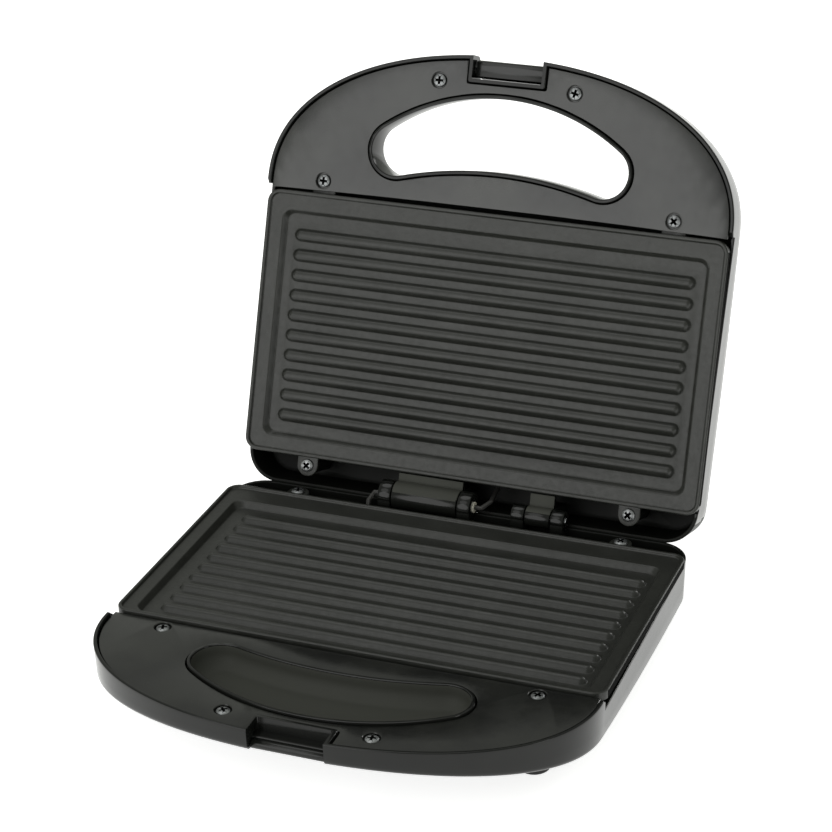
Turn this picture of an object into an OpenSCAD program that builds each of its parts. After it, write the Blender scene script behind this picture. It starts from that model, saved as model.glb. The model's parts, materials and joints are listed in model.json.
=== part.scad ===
// Sandwich toaster with two ribbed grill plates in a hinged clamshell.
// Rest pose: lid open. Units are millimetres, +Z is up, the front faces -Y.
// Both halves are drawn in one half frame: x across, y = -v where v runs from the hinge line
// to the front, and z = h, the height above the panel plane, with the outside of the shell at -z.

/* [Shell] */
// Half width of the shell where its straight sides meet the round front
half_w_front = 109.5; // [100:0.5:125]
// Half width of the shell at the rear corners
half_w_rear = 107.6; // [98:0.1:122]
// Radius of the rear corners seen from above
rear_corner_r = 15; // [8:0.5:24]
// How far the rear edge stands behind the hinge line
rear_overhang = 3.5; // [3:0.1:5]
// Distance from the hinge line to the start of the round front
side_len = 135.7; // [125:0.1:150]
// Length of the round front
nose_len = 65.3; // [60:0.1:80]
// Depth of a half at the rear, below its panel plane
depth_rear = 24.3; // [22:0.1:32]
// Depth of a half at the front edge
depth_front = 9; // [8:0.1:14]
// How much further the skin bulges out at its middle
skin_crown = 1.2; // [0:0.1:3]
// Inward lean of the side walls, in millimetres per millimetre of depth
wall_lean = 0.04; // [0:0.01:0.1]
// Radius of the edge between the wall and the skin
skin_edge_r = 3; // [2:0.5:6]
// Thickness of the moulded walls
wall = 2.4; // [1.8:0.1:3]
// Height of the lip around the handle cover
lip_h = 1.2; // [0.6:0.1:1.6]
// Thickness of that lip
lip_t = 1.7; // [1.2:0.1:2.2]
// Distance of the side wall's top edge below the panel plane
side_top_drop = 4.2; // [3.8:0.1:5]
// Distance of the rear wall's top edge below the panel plane
rear_top_drop = 3; // [2.9:0.1:4]

/* [Closing] */
// Space between the two panel planes when the lid is shut
panel_gap = 4; // [3.4:0.1:6]
// How far the lid opens
open_angle = 110.2; // [90:0.1:111]

/* [Handle] */
// Half length of the finger hole
hole_half_l = 62.4; // [54:0.1:66]
// Width of the grip between the finger hole and the front edge
grip_w = 16.4; // [16:0.1:20]
// Width of the finger hole on the centre line
hole_w = 36.9; // [30:0.1:40]
// Radius of the hole's two ends
hole_end_r = 13.8; // [11:0.1:15]
// Gap between the cover and the mouldings around it
cover_gap = 0.6; // [0.4:0.05:0.8]
// Thickness of the handle covers
cover_t = 2.4; // [2:0.1:3]
// How far the handle covers reach back past the start of the round front
cover_back = 2.3; // [1:0.1:3]
// Depth of the finger recess in the base
recess_depth = 8.5; // [6:0.1:9]
// Thickness of the recess floor
recess_floor_t = 2; // [1.5:0.1:2.5]

/* [Latch] */
// Half width of the notch at the front
notch_half_w = 16.3; // [12:0.1:20]
// How far the notch cuts in from the front edge
notch_depth = 10.8; // [10:0.1:11.5]
// Distance of the latch pivot from the front edge
latch_pivot_back = 5.2; // [4.8:0.1:5.6]
// Latch pivot, below the lid's panel plane
latch_pivot_drop = 5.2; // [4.8:0.1:5.6]
// Radius of the latch barrel
latch_barrel_r = 2.8; // [2.4:0.1:3]
// Thickness of the latch arm
latch_t = 2.2; // [1.8:0.1:2.4]
// Radius of the latch pin
latch_pin_r = 1.2; // [0.9:0.05:1.4]
// Swing of the latch from hooked to folded back
latch_swing = 186; // [170:1:187]
// Radius of the catch bar in the base
catch_r = 2; // [1.6:0.1:2.2]
// Catch bar's centre, below the base's panel plane
catch_drop = 7.4; // [7:0.1:8]

/* [Grill plates] */
// Distance from a plate's side edge to the widest part of the shell
plate_side_gap = 1; // [0.8:0.1:4]
// Rear edge of a plate, from the hinge line
plate_rear_v = 10.8; // [10:0.1:14]
// Gap between a plate's front edge and the handle cover
plate_cover_gap = 1.75; // [0.8:0.05:3]
// Corner radius of a plate
plate_corner_r = 6; // [4:0.5:10]
// Height of the plate's edge lip above the panel plane
plate_lip_h = 1.2; // [0.6:0.1:1.6]
// Width of that lip
plate_lip_w = 1.7; // [1.2:0.1:2.5]
// Width of the flat rim between the edge and the cooking recess
rim_w = 8.3; // [6:0.1:12]
// Depth of the cooking recess
recess_h = 2.8; // [2:0.1:3.2]
// Thickness of the plate's floor
plate_floor_t = 2.4; // [2:0.1:3]
// How far the plate's skirt hangs below the panel plane
skirt_drop = 3; // [2:0.1:3.2]
// Number of ribs on each plate
rib_count = 10; // [6:1:11]
// Distance from rib to rib
rib_pitch = 9.25; // [8:0.05:9.4]
// Half width of a rib
rib_r = 2.7; // [2:0.1:3]
// Height of a rib above the plate's floor
rib_h = 2.2; // [1.2:0.1:2.4]
// Length of a rib between its round ends' tips
rib_len = 189; // [150:1:190]
// How far the upper plate's ribs lie behind the plate's middle
rib_back = 0.2; // [-1:0.1:1]
// How much further forward the lower plate's ribs lie
rib_stagger = 5.9; // [0:0.1:6]
// How much further forward the lower plate's cooking recess lies
recess_stagger = 5; // [0:0.1:5.2]

/* [Heating] */
// Radius of the tubular heating elements
element_r = 3.25; // [2.5:0.05:3.5]
// Distance between the two long legs of an element
element_span = 51; // [40:1:60]
// Half length of an element
element_half_l = 62; // [50:1:70]
// Bend radius of an element
element_bend_r = 12; // [9:0.5:16]
// Thickness of the reflector sheet
reflector_t = 0.8; // [0.5:0.1:1.2]

/* [Hinge] */
// Radius of the steel hinge pin on the right
hinge_pin_r = 2; // [1.5:0.1:2.5]
// Outer radius of the hollow bush on the left
hinge_bush_r = 4; // [3.4:0.1:4.2]
// Wall of that bush
hinge_bush_wall = 1.2; // [0.8:0.1:1.4]
// Thickness of the knuckle material around a bore
knuckle_wall = 2.6; // [2.2:0.1:3]
// Running clearance of pins in their bores
run_gap = 0.05; // [0.02:0.01:0.09]
// Side clearance between neighbouring knuckles
knuckle_side_gap = 0.5; // [0.3:0.05:0.8]
// Left end of the lid's right-hand knuckle
right_knuckle_x = 31.4; // [28:0.1:40]
// Width of the lid's right-hand knuckle
right_knuckle_w = 11.5; // [8:0.1:16]
// Left end of the lid's left-hand knuckle
left_knuckle_x = -31.6; // [-36:0.1:-30]
// Width of the lid's left-hand knuckle, which is also the wire duct
left_knuckle_w = 31.1; // [20:0.1:31.5]
// Width of each base knuckle
base_knuckle_w = 6; // [4:0.1:7]

/* [Feet and inlet] */
// Height of the base's panel plane above the table
panel_z = 34; // [32:0.1:44]
// Radius of the rubber feet
foot_r = 6.8; // [5:0.1:9]
// Height of rubber below the foot posts
foot_h = 3; // [2:0.1:5]
// Foot position across
foot_x = 81; // [70:0.5:84]
// How far the front feet stand in front of the round front's start
foot_forward = 2.3; // [-4:0.1:6]
// Rear feet, from the hinge line
foot_rear_v = 13; // [12:0.5:20]
// Position of the cord inlet across
inlet_x = -58; // [-66:0.5:-52]
// Height of the cord inlet below the panel plane
inlet_drop = 14; // [13:0.1:15]
// Radius of the cord opening in the inlet bush
inlet_r = 3.4; // [3:0.1:3.8]

/* [Screws] */
// Radius of the screw heads
head_r = 3; // [2.6:0.1:3.4]
// Radius of the screw shanks
shank_r = 1.6; // [1.3:0.05:1.8]
// Rear cover screws, distance from the side edge
cover_screw_side = 27; // [24:0.1:32]
// Rear cover screws, distance from the cover's rear edge
cover_screw_edge = 4.1; // [3.8:0.1:5]
// Front cover screws, distance from the notch's side wall
cover_screw_notch = 15.4; // [11:0.1:20]
// Front cover screws, distance from the front edge
cover_screw_front = 13; // [12:0.1:14]
// Plate screws, distance from the plate's side edge
lug_side = 31; // [26:0.1:38]
// Plate screws, from the hinge line
lug_v = 6.8; // [6:0.1:7.5]

/* [Lamps] */
// Distance of each lamp from the middle
lamp_x = 12; // [9:0.5:20]
// Distance of the lamps from the finger hole
lamp_hole_gap = 27.7; // [24:0.1:30]
// Radius of a lamp lens
lens_r = 4.5; // [3.5:0.1:5.5]

/* [Hidden] */

$fn = 48;
seat = 0.15;                  // clearance between parts that rest on each other
cut = 1;                      // how far a cutting solid runs past a face
front_v = side_len + nose_len;
cover_rear_v = side_len - cover_back;
hole_front_v = front_v - grip_w;
hole_rear_v = hole_front_v - hole_w;
notch_v = front_v - notch_depth;
latch_pivot_v = front_v - latch_pivot_back;
plate_w = 2 * (half_w_front - plate_side_gap);
plate_front_v = cover_rear_v - plate_cover_gap;
upper_rib_mid_v = (plate_rear_v + plate_front_v) / 2 - rib_back;
foot_front_v = side_len + foot_forward;
cover_screw_rear_x = half_w_front - cover_screw_side;
cover_screw_rear_v = cover_rear_v + cover_screw_edge;
cover_screw_front_x = notch_half_w + cover_screw_notch;
cover_screw_front_v = front_v - cover_screw_front;
lug_x = plate_w / 2 - lug_side;
lamp_v = hole_rear_v - lamp_hole_gap;
carrier_w = 13;               // length of the lamp carrier's plate, along the lid
nose_power = 2.18;            // squareness of the round front
depth_power = 2.4;            // how late the skin falls away towards the front
post_r = foot_r + 0.8;        // moulded foot posts
plug_r = foot_r - 1.4;        // rubber plug in a post
plug_l = 2.6;
pilot_r = shank_r + run_gap;
boss_r = pilot_r + 2.4;

/* Catch in the base's notch */
catch_floor_drop = 4.8;       // notch floor in the base, below its panel plane
catch_wall_v = latch_pivot_v - 0.6;               // front wall under that floor
catch_v = catch_wall_v + 0.9;                     // centre of the catch bar

/* Hinge line and placing of the halves */
hinge_z = panel_z + panel_gap / 2;
latch_arm_in = catch_v + catch_r + 0.2 - latch_pivot_v;   // arm's inner face, from the pivot
latch_arm_out = latch_arm_in + latch_t;
hook_gap = 0.5;                                   // play between hook and catch bar
hook_t = 2;
hook_nib = 2.6;                                   // how far the hook reaches under the bar
hook_reach = panel_gap + catch_drop + catch_r + hook_gap + hook_t + latch_pivot_drop;
fold_back = latch_swing - 180;
rear_v = latch_pivot_v + (hook_nib - latch_arm_in) * cos(fold_back) - hook_reach * sin(fold_back);
rear_h = latch_pivot_drop + hook_reach * cos(fold_back);
rear_reach = rear_v * cos(180 - open_angle) + (rear_h + panel_gap / 2) * sin(open_angle);
hinge_y = (front_v - rear_reach) / 2;

module in_base() {
    translate([0, hinge_y, panel_z]) children();
}

module in_lid() {
    translate([0, hinge_y, hinge_z])
        rotate([-open_angle, 0, 0])
            translate([0, 0, panel_gap / 2])
                mirror([0, 0, 1]) children();
}

/* A box given by its limits across, from the hinge line and in height */
module block(x0, x1, v0, v1, h0, h1) {
    translate([x0, -v1, h0]) cube([x1 - x0, v1 - v0, h1 - h0]);
}

/* An upright cylinder in the half frame */
module post(x, v, h0, h1, r) {
    translate([x, -v, h0]) cylinder(h = h1 - h0, r = r);
}

/* A cylinder across the part */
module bar(x0, x1, v, h, r) {
    translate([x0, -v, h]) rotate([0, 90, 0]) cylinder(h = x1 - x0, r = r);
}

/* Shell outline, right half from the rear middle to the front middle, moved in by t */
corner_steps = 5;
side_steps = 5;
nose_steps = 13;

function lerp(a, b, q) = a + (b - a) * q;
function nose_point(q, t) = [
    (half_w_front - t) * pow(cos(90 * q), 2 / nose_power),
    side_len + (nose_len - t) * pow(sin(90 * q), 2 / nose_power)
];
function corner_point(q, t) = [
    half_w_rear - rear_corner_r + (rear_corner_r - t) * sin(90 * q),
    rear_corner_r - rear_overhang - (rear_corner_r - t) * cos(90 * q)
];
function side_point(q, t) = [
    lerp(half_w_rear, half_w_front, q) - t,
    lerp(rear_corner_r - rear_overhang, side_len, q)
];
last_station = corner_steps + side_steps + nose_steps + 1;
function station(i, t) =
    i == 0 ? [0, t - rear_overhang] :
    i <= corner_steps + 1 ? corner_point((i - 1) / corner_steps, t) :
    i <= corner_steps + side_steps ? side_point((i - corner_steps - 1) / side_steps, t) :
    nose_point((i - corner_steps - side_steps - 1) / nose_steps, t);

function mirrored(half) = concat(half,
    [for (i = [len(half) - 2 : -1 : 1]) [-half[i][0], half[i][1], half[i][2]]]);
function outline_2d(t) = mirrored([for (i = [0 : last_station]) concat(station(i, t), [0])]);

/* Depth of the skin under a point of the outline */
function skin_depth(v) = depth_rear
    - (depth_rear - depth_front) * pow(max(v, 0) / front_v, depth_power);

/* One ring of the shell's surface: k runs from the open edge over the wall to the skin */
skin_mid_v = 98;
function wall_ring(shrink, up) = mirrored([for (i = [0 : last_station])
    let (p = station(i, shrink)) [p[0], -p[1], up]]);
function drop_ring(shrink, thick, q) = mirrored([for (i = [0 : last_station])
    let (d = skin_depth(station(i, 0)[1]) - thick,
        r = skin_edge_r,
        e = d - r * (1 - sin(90 * q)),
        p = station(i, shrink + wall_lean * min(e, d - r) + r * (1 - cos(90 * q))))
    [p[0], -p[1], -e]]);
function crown_ring(shrink, thick, q) = mirrored([for (i = [0 : last_station])
    let (d = skin_depth(station(i, 0)[1]) - thick,
        r = skin_edge_r,
        p = station(i, shrink + wall_lean * (d - r) + r),
        x = p[0] * q,
        v = lerp(skin_mid_v, p[1], q))
    [x, -v, -(skin_depth(v) - thick + skin_crown * (1 - q * q))]]);
function shell_rings(shrink, thick, up) = [
    wall_ring(shrink, up),
    wall_ring(shrink, 0),
    for (q = [0, 0.4, 1]) drop_ring(shrink, thick, q),
    for (q = [0.75, 0.4]) crown_ring(shrink, thick, q)
];

/* Joins rings of points into a closed body. The last ring is capped in strips across */
module loft(rings) {
    n = len(rings[0]);
    k = len(rings);
    half = n / 2;
    last = (k - 1) * n;
    polyhedron(
        points = [for (ring = rings) for (p = ring) p],
        faces = concat(
            [[for (i = [0 : n - 1]) i]],
            [for (j = [0 : k - 2]) for (i = [0 : n - 1])
                for (tri = [[j * n + i, (j + 1) * n + i, (j + 1) * n + (i + 1) % n],
                            [j * n + i, (j + 1) * n + (i + 1) % n, j * n + (i + 1) % n]]) tri],
            [for (i = [1 : half - 1]) for (tri = i == 1
                ? [[last, last + n - 1, last + n - 2], [last, last + n - 2, last + 2],
                   [last, last + 2, last + 1]]
                : i == half - 1
                ? [[last + i, last + n - i, last + half]]
                : [[last + i, last + n - i, last + n - i - 1],
                   [last + i, last + n - i - 1, last + i + 1]]) tri]
        )
    );
}

/* Outline of the finger hole, moved in by t: two round ends, a convex front, a concave rear */
hole_end_x = hole_half_l - hole_end_r;
hole_low_v = hole_rear_v - 6.5;
hole_end_v = hole_low_v + hole_end_r;
function front_arc_r(dv, r) = (r * r - hole_end_x * hole_end_x - dv * dv) / (2 * dv + 2 * r);
function rear_arc_r(dv, r) = (r * r - hole_end_x * hole_end_x - dv * dv) / (2 * dv - 2 * r);
function hole_2d(t) = let (
        r = hole_end_r - t,
        big = front_arc_r(hole_end_v - hole_front_v + t, r),
        low = rear_arc_r(hole_end_v - hole_rear_v - t, r),
        big_v = hole_front_v - t - big,
        low_v = hole_rear_v + t - low,
        a = atan2(hole_end_v - big_v, hole_end_x),
        b = atan2(low_v - hole_end_v, -hole_end_x))
    concat(
        [for (i = [0 : 6]) let (q = lerp(90, b + 180, i / 7)) [low * cos(q), low_v + low * sin(q)]],
        [for (i = [0 : 12]) let (q = lerp(b, a, i / 12))
            [hole_end_x + r * cos(q), hole_end_v + r * sin(q)]],
        [for (i = [1 : 10]) let (q = lerp(a, 90, i / 10)) [big * cos(q), big_v + big * sin(q)]]
    );
function hole_full(t) = let (h = hole_2d(t))
    concat(h, [for (i = [len(h) - 2 : -1 : 1]) [-h[i][0], h[i][1]]]);
function hole_ring(t, over, flat = 0) =
    [for (p = hole_full(t)) [p[0], -p[1], flat != 0 ? flat : -(skin_depth(p[1]) + over)]];

module hole_prism(t, h0, h1) {
    translate([0, 0, h0]) linear_extrude(h1 - h0)
        polygon([for (p = hole_full(t)) [p[0], -p[1]]]);
}

/* Walls of the notch at the front */
notch_wall_x = notch_half_w + lip_t;
notch_wall_v = notch_v - lip_t;
module notch_walls(h_low) {
    intersection() {
        difference() {
            block(-notch_wall_x, notch_wall_x, notch_wall_v, front_v + cut, h_low, lip_h);
            block(-notch_half_w, notch_half_w, notch_v, front_v + 2 * cut, h_low - cut, lip_h + cut);
        }
        loft(shell_rings(lip_t / 2, 1, lip_h));
    }
}

/* Knuckle on the hinge line with the web that ties it to the skin */
knuckle_web_t = 3.3;
shelf_h = 0.6;                // flat top of the lid's knuckles, which reaches to the plate
shelf_t = 3;
function knuckle_r(bore) = bore + knuckle_wall;
axis_h = panel_gap / 2;
module knuckle(x0, x1, bore, shelf = false) {
    r = knuckle_r(bore);
    difference() {
        union() {
            bar(x0, x1, 0, axis_h, r);
            block(x0, x1, r - knuckle_web_t, r, 2 * wall - depth_rear, axis_h);
            block(x0, x1, 0, r, wall - depth_rear, 3 * wall - depth_rear);
            block(x0, x1, -rear_overhang + wall_lean * side_top_drop + 0.2, r, -side_top_drop - 0.4, axis_h);
            if (shelf) block(x0, x1, 0, plate_rear_v - cover_gap, shelf_h - shelf_t, shelf_h);
        }
        bar(x0 - cut, x1 + cut, 0, axis_h, bore + run_gap);
    }
}

/* Knuckle places across */
right_x0 = right_knuckle_x;
right_x1 = right_x0 + right_knuckle_w;
left_x0 = left_knuckle_x;
left_x1 = left_x0 + left_knuckle_w;
right_base = [[right_x0 - knuckle_side_gap - base_knuckle_w, right_x0 - knuckle_side_gap],
              [right_x1 + knuckle_side_gap, right_x1 + knuckle_side_gap + base_knuckle_w]];
left_base = [[left_x0 - knuckle_side_gap - base_knuckle_w, left_x0 - knuckle_side_gap],
             [left_x1 + knuckle_side_gap, left_x1 + knuckle_side_gap + base_knuckle_w]];
rear_cut_drop = 9;            // depth of the openings in the rear walls around the knuckles

/* What both shells share: skin, lip, screw bosses, finger hole and openings for the knuckles */
module half_shell() {
    difference() {
        union() {
            difference() {
                loft(shell_rings(0, 0, lip_h));
                loft(shell_rings(wall, wall, lip_h + cut));
                // the lip is thinner than the wall below it
                translate([0, 0, -cover_t]) linear_extrude(cover_t + lip_h + cut)
                    polygon([for (p = outline_2d(lip_t)) [p[0], -p[1]]]);
            }
            intersection() {
                union() {
                    hole_prism(cover_gap, -depth_rear, lip_h * 0.75);
                    hole_prism(-4.5, -depth_rear, -depth_front - 1);
                    for (s = [-1, 1]) {
                        post(s * cover_screw_rear_x, cover_screw_rear_v, -depth_rear, tab_h0 - seat, boss_r);
                        post(s * cover_screw_front_x, cover_screw_front_v, -depth_rear,
                            -cover_t - seat, boss_r - 0.4);
                        post(s * lug_x, lug_v, -depth_rear, lug_h0 - seat, boss_r);
                    }
                }
                loft(shell_rings(lip_t / 2, 1, lip_h));
            }
        }
        // the walls around the plate end lower than the lip
        block(-half_w_front - cut, half_w_front + cut, plate_rear_v, cover_rear_v, -side_top_drop, lip_h + cut);
        block(-half_w_front - cut, half_w_front + cut, -rear_overhang - cut, plate_rear_v + cut,
            -rear_top_drop, lip_h + cut);
        for (zone = [[left_base[0][0], left_base[1][1]], [right_base[0][0], right_base[1][1]]])
            block(zone[0] - knuckle_side_gap, zone[1] + knuckle_side_gap,
                -rear_overhang - cut, knuckle_r(hinge_bush_r) + cut, -rear_cut_drop, lip_h + cut);
        for (s = [-1, 1]) {
            post(s * cover_screw_rear_x, cover_screw_rear_v, -boss_bore_l, lip_h, pilot_r);
            post(s * cover_screw_front_x, cover_screw_front_v, wall - depth_front, lip_h, pilot_r);
            post(s * lug_x, lug_v, -boss_bore_l, lip_h, pilot_r);
        }
    }
}

/* Lid screws and base screws reach this far below the panel plane */
boss_bore_l = 14;

/* The finger hole: straight through, with a rounded outer rim */
module finger_hole() {
    t = cover_gap + lip_t;
    hole_prism(t, -depth_rear - 2 * cut, lip_h + cut);
    loft([hole_ring(t, 0, -recess_depth / 2), hole_ring(t, -3.6), hole_ring(t - 0.7, -1.6),
        hole_ring(t - 2, -0.1), hole_ring(t - 5.4, 3.4)]);
}

module base_shell() {
    post_h = foot_h - panel_z;
    color("#1b1c1b") in_base() difference() {
        union() {
            difference() {
                half_shell();
                finger_hole();
                block(-notch_half_w, notch_half_w, notch_v, front_v + cut, -catch_floor_drop, lip_h + cut);
                block(-notch_half_w, notch_half_w, catch_wall_v, front_v + cut, -depth_rear, lip_h + cut);
            }
            // floor of the finger recess
            hole_prism(cover_gap + lip_t / 2, -recess_depth - recess_floor_t, -recess_depth);
            notch_walls(-depth_front);
            // floor, front wall and catch bar of the notch
            block(-notch_wall_x, notch_wall_x, notch_wall_v, catch_wall_v,
                -catch_floor_drop - lip_t, -catch_floor_drop);
            block(-notch_wall_x, notch_wall_x, catch_wall_v - lip_t, catch_wall_v,
                0.8 - depth_front, -catch_floor_drop);
            bar(-notch_half_w + 1, notch_half_w - 1, catch_v, -catch_drop, catch_r);
            for (s = [[-foot_x, foot_front_v], [foot_x, foot_front_v],
                      [-foot_x, foot_rear_v], [foot_x, foot_rear_v]])
                post(s[0], s[1], post_h, -skin_depth(s[1]) + wall, post_r);
            for (k = right_base) knuckle(k[0], k[1], hinge_pin_r);
            for (k = left_base) knuckle(k[0], k[1], hinge_bush_r);
            // flat pad that carries the cord inlet
            block(inlet_x - inlet_pad / 2, inlet_x + inlet_pad / 2, inlet_pad_out,
                inlet_pad_in, -inlet_drop - inlet_pad / 2, -inlet_drop + inlet_pad / 2);
        }
        for (s = [[-foot_x, foot_front_v], [foot_x, foot_front_v],
                  [-foot_x, foot_rear_v], [foot_x, foot_rear_v]])
            post(s[0], s[1], post_h - cut, post_h + plug_l + seat, plug_r + run_gap);
        translate([inlet_x, -inlet_pad_in - cut, -inlet_drop]) rotate([-90, 0, 0])
            cylinder(h = inlet_pad_in - inlet_pad_out + 2 * cut, r = bush_r + run_gap);
        // cooling slots in the underside
        for (i = [-2 : 2]) for (s = [-1, 1])
            block(i * vent_pitch - vent_w / 2, i * vent_pitch + vent_w / 2,
                vent_mid_v + s * vent_gap - vent_l / 2, vent_mid_v + s * vent_gap + vent_l / 2,
                -depth_rear - skin_crown - cut, 2 * wall - depth_rear);
    }
}

vent_w = 3;
vent_l = 26;
vent_pitch = 14;
vent_gap = 19;
vent_mid_v = 62;
inlet_pad = 17;
inlet_pad_in = 4;
inlet_pad_out = -rear_overhang - 0.3;
bush_r = inlet_r + 2;
bush_flange_r = bush_r + 1.8;

module lid_shell() {
    color("#1b1c1b") in_lid() difference() {
        union() {
            difference() {
                half_shell();
                finger_hole();
                block(-notch_half_w, notch_half_w, notch_v, front_v + cut, -depth_rear, lip_h + cut);
            }
            notch_walls(-depth_front);
            knuckle(right_x0, right_x1, hinge_pin_r, true);
            knuckle(left_x0, left_x1, hinge_bush_r, true);
        }
        bar(-notch_wall_x - cut, notch_wall_x + cut, latch_pivot_v, -latch_pivot_drop,
            latch_pin_r + run_gap);
        for (s = [-1, 1])
            post(s * lamp_x, lamp_v, -depth_rear - cut, 0, lens_r + seat);
    }
}

/* Handle covers */
module handle_cover() {
    t = lip_t + cover_gap;
    difference() {
        translate([0, 0, -cover_t]) linear_extrude(cover_t) difference() {
            intersection() {
                polygon([for (p = outline_2d(t)) [p[0], -p[1]]]);
                translate([-half_w_front, -front_v]) square([2 * half_w_front, front_v - cover_rear_v]);
            }
            polygon([for (p = hole_full(0)) [p[0], -p[1]]]);
            translate([-notch_wall_x - cover_gap, -front_v])
                square([2 * (notch_wall_x + cover_gap), front_v - notch_wall_v + cover_gap]);
        }
        for (s = [[-cover_screw_rear_x, cover_screw_rear_v], [cover_screw_rear_x, cover_screw_rear_v],
                  [-cover_screw_front_x, cover_screw_front_v], [cover_screw_front_x, cover_screw_front_v]]) {
            post(s[0], s[1], -cover_t - cut, cut, shank_r + 0.3);
            post(s[0], s[1], -head_sink, cut, head_r + 0.6);
        }
    }
}

head_sink = 1.5;              // screw heads sit this deep in the covers
head_t = 1.5;

module base_handle_cover() {
    color("#222322") in_base() handle_cover();
}

module lid_handle_cover() {
    color("#222322") in_lid() handle_cover();
}

/* A pan-head screw at the origin, head underside at z = 0, with a cross recess */
module screw(length) {
    difference() {
        union() {
            translate([0, 0, -length]) cylinder(h = length + 0.1, r = shank_r);
            cylinder(h = head_t * 0.6, r = head_r);
            translate([0, 0, head_t * 0.6]) cylinder(h = head_t * 0.4, r1 = head_r, r2 = head_r * 0.72);
        }
        for (a = [0, 90]) rotate([0, 0, a])
            translate([-head_r * 0.58, -0.45, head_t * 0.35]) cube([head_r * 1.16, 0.9, head_t]);
    }
}

module cover_screws() {
    for (s = [-1, 1]) {
        translate([s * cover_screw_rear_x, -cover_screw_rear_v, -head_sink + seat / 2])
            screw(boss_bore_l - head_sink - cut);
        translate([s * cover_screw_front_x, -cover_screw_front_v, -head_sink + seat / 2])
            screw(depth_front - wall - head_sink - 0.4);
    }
}

module base_cover_screws() {
    color("#a9aaab") in_base() cover_screws();
}

module lid_cover_screws() {
    color("#a9aaab") in_lid() cover_screws();
}

/* Grill plate: edge lip, flat rim, cooking recess with ribs, lugs and tabs for the screws */
tab_h1 = -cover_t - seat;     // front tabs lie under the handle cover
tab_t = 2;
tab_h0 = tab_h1 - tab_t;
tab_half_w = 5.5;
tab_front_v = cover_screw_rear_v + 5;
lug_t = 2;
lug_h1 = -0.6;                // top of the rear lugs
lug_h0 = lug_h1 - lug_t;
lug_r = 5;
plate_half_w = plate_w / 2;
floor_h = -recess_h - plate_floor_t;
reflector_boss_x = 30;
reflector_mid_v = (plate_rear_v + plate_front_v) / 2;
reflector_h1 = floor_h - 2 * element_r - 2 * seat;
reflector_boss_r = 4.5;

module round_rect(inset, r, forward = 0) {
    x = plate_half_w - inset - r;
    translate([0, -plate_rear_v - inset - r - forward])
        hull_free_rect(x, plate_front_v - plate_rear_v - 2 * inset - 2 * r, r);
}

/* A rectangle of half width x and length l behind y = 0, grown by round corners of radius r */
module hull_free_rect(x, l, r) {
    translate([-x - r, -l]) square([2 * x + 2 * r, l]);
    translate([-x, -l - r]) square([2 * x, l + 2 * r]);
    for (s = [-1, 1]) for (v = [0, -l]) translate([s * x, v]) circle(r);
}

module rib(v) {
    h = rib_h - rib_r - recess_h;
    half = rib_len / 2 - rib_r;
    bar(-half, half, v, h, rib_r);
    for (s = [-1, 1]) translate([s * half, -v, h]) sphere(rib_r);
}

module grill_plate(rib_mid_v, forward = 0) {
    tub = rim_w - plate_floor_t;
    difference() {
        union() {
            difference() {
                union() {
                    translate([0, 0, -skirt_drop]) linear_extrude(skirt_drop + plate_lip_h)
                        round_rect(0, plate_corner_r);
                    translate([0, 0, floor_h]) linear_extrude(-floor_h) round_rect(tub, plate_corner_r, forward);
                }
                linear_extrude(plate_lip_h + cut) round_rect(plate_lip_w, plate_corner_r - plate_lip_w);
                translate([0, 0, -recess_h]) linear_extrude(recess_h + cut)
                    round_rect(rim_w, plate_corner_r - 1, forward);
            }
            intersection() {
                for (i = [0 : rib_count - 1]) rib(rib_mid_v + (i - (rib_count - 1) / 2) * rib_pitch);
                block(-plate_half_w, plate_half_w, plate_rear_v, plate_front_v, -recess_h - seat, 0);
            }
            for (s = [-1, 1]) {
                block(s * lug_x - lug_r, s * lug_x + lug_r, lug_v, plate_rear_v + plate_lip_w, lug_h0, lug_h1);
                post(s * lug_x, lug_v, lug_h0, lug_h1, lug_r);
                block(s * cover_screw_rear_x - tab_half_w, s * cover_screw_rear_x + tab_half_w,
                    plate_front_v - rim_w, tab_front_v, tab_h0, tab_h1);
                post(s * reflector_boss_x, reflector_mid_v, reflector_h1, floor_h + seat, reflector_boss_r);
            }
        }
        for (s = [-1, 1]) {
            post(s * lug_x, lug_v, lug_h0 - cut, cut, shank_r + 0.3);
            post(s * cover_screw_rear_x, cover_screw_rear_v, tab_h0 - cut, cut, shank_r + 0.3);
            post(s * reflector_boss_x, reflector_mid_v, reflector_h1 - cut, floor_h + plate_floor_t / 2, pilot_r);
        }
    }
}

module lower_plate() {
    color("#474845") in_base() grill_plate(upper_rib_mid_v + rib_stagger, recess_stagger);
}

module upper_plate() {
    color("#474845") in_lid() grill_plate(upper_rib_mid_v);
}

module plate_screws() {
    for (s = [-1, 1]) translate([s * lug_x, -lug_v, lug_h1 + seat / 2]) screw(boss_bore_l + lug_h1 - cut);
}

module lower_plate_screws() {
    color("#a9aaab") in_base() plate_screws();
}

module upper_plate_screws() {
    color("#a9aaab") in_lid() plate_screws();
}

/* Tubular heating element: two legs joined by two bends and a short leg */
element_h = floor_h - seat - element_r;
element_rear_v = reflector_mid_v - element_span / 2;
element_front_v = reflector_mid_v + element_span / 2;
element_turn_x = element_half_l + 6 - element_bend_r;

module bend(x, v, a) {
    translate([x, -v, element_h]) rotate([0, 0, a])
        rotate_extrude(angle = 90) translate([element_bend_r, 0]) circle(element_r);
}

module heating_element() {
    bar(-element_half_l, element_turn_x, element_rear_v, element_h, element_r);
    bar(-element_half_l, element_turn_x, element_front_v, element_h, element_r);
    bend(element_turn_x, element_rear_v + element_bend_r, 0);
    bend(element_turn_x, element_front_v - element_bend_r, -90);
    translate([element_turn_x + element_bend_r, -element_front_v + element_bend_r, element_h])
        rotate([-90, 0, 0]) cylinder(h = element_span - 2 * element_bend_r, r = element_r);
}

module lower_heating_element() {
    color("#5c5a57") in_base() heating_element();
}

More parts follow.
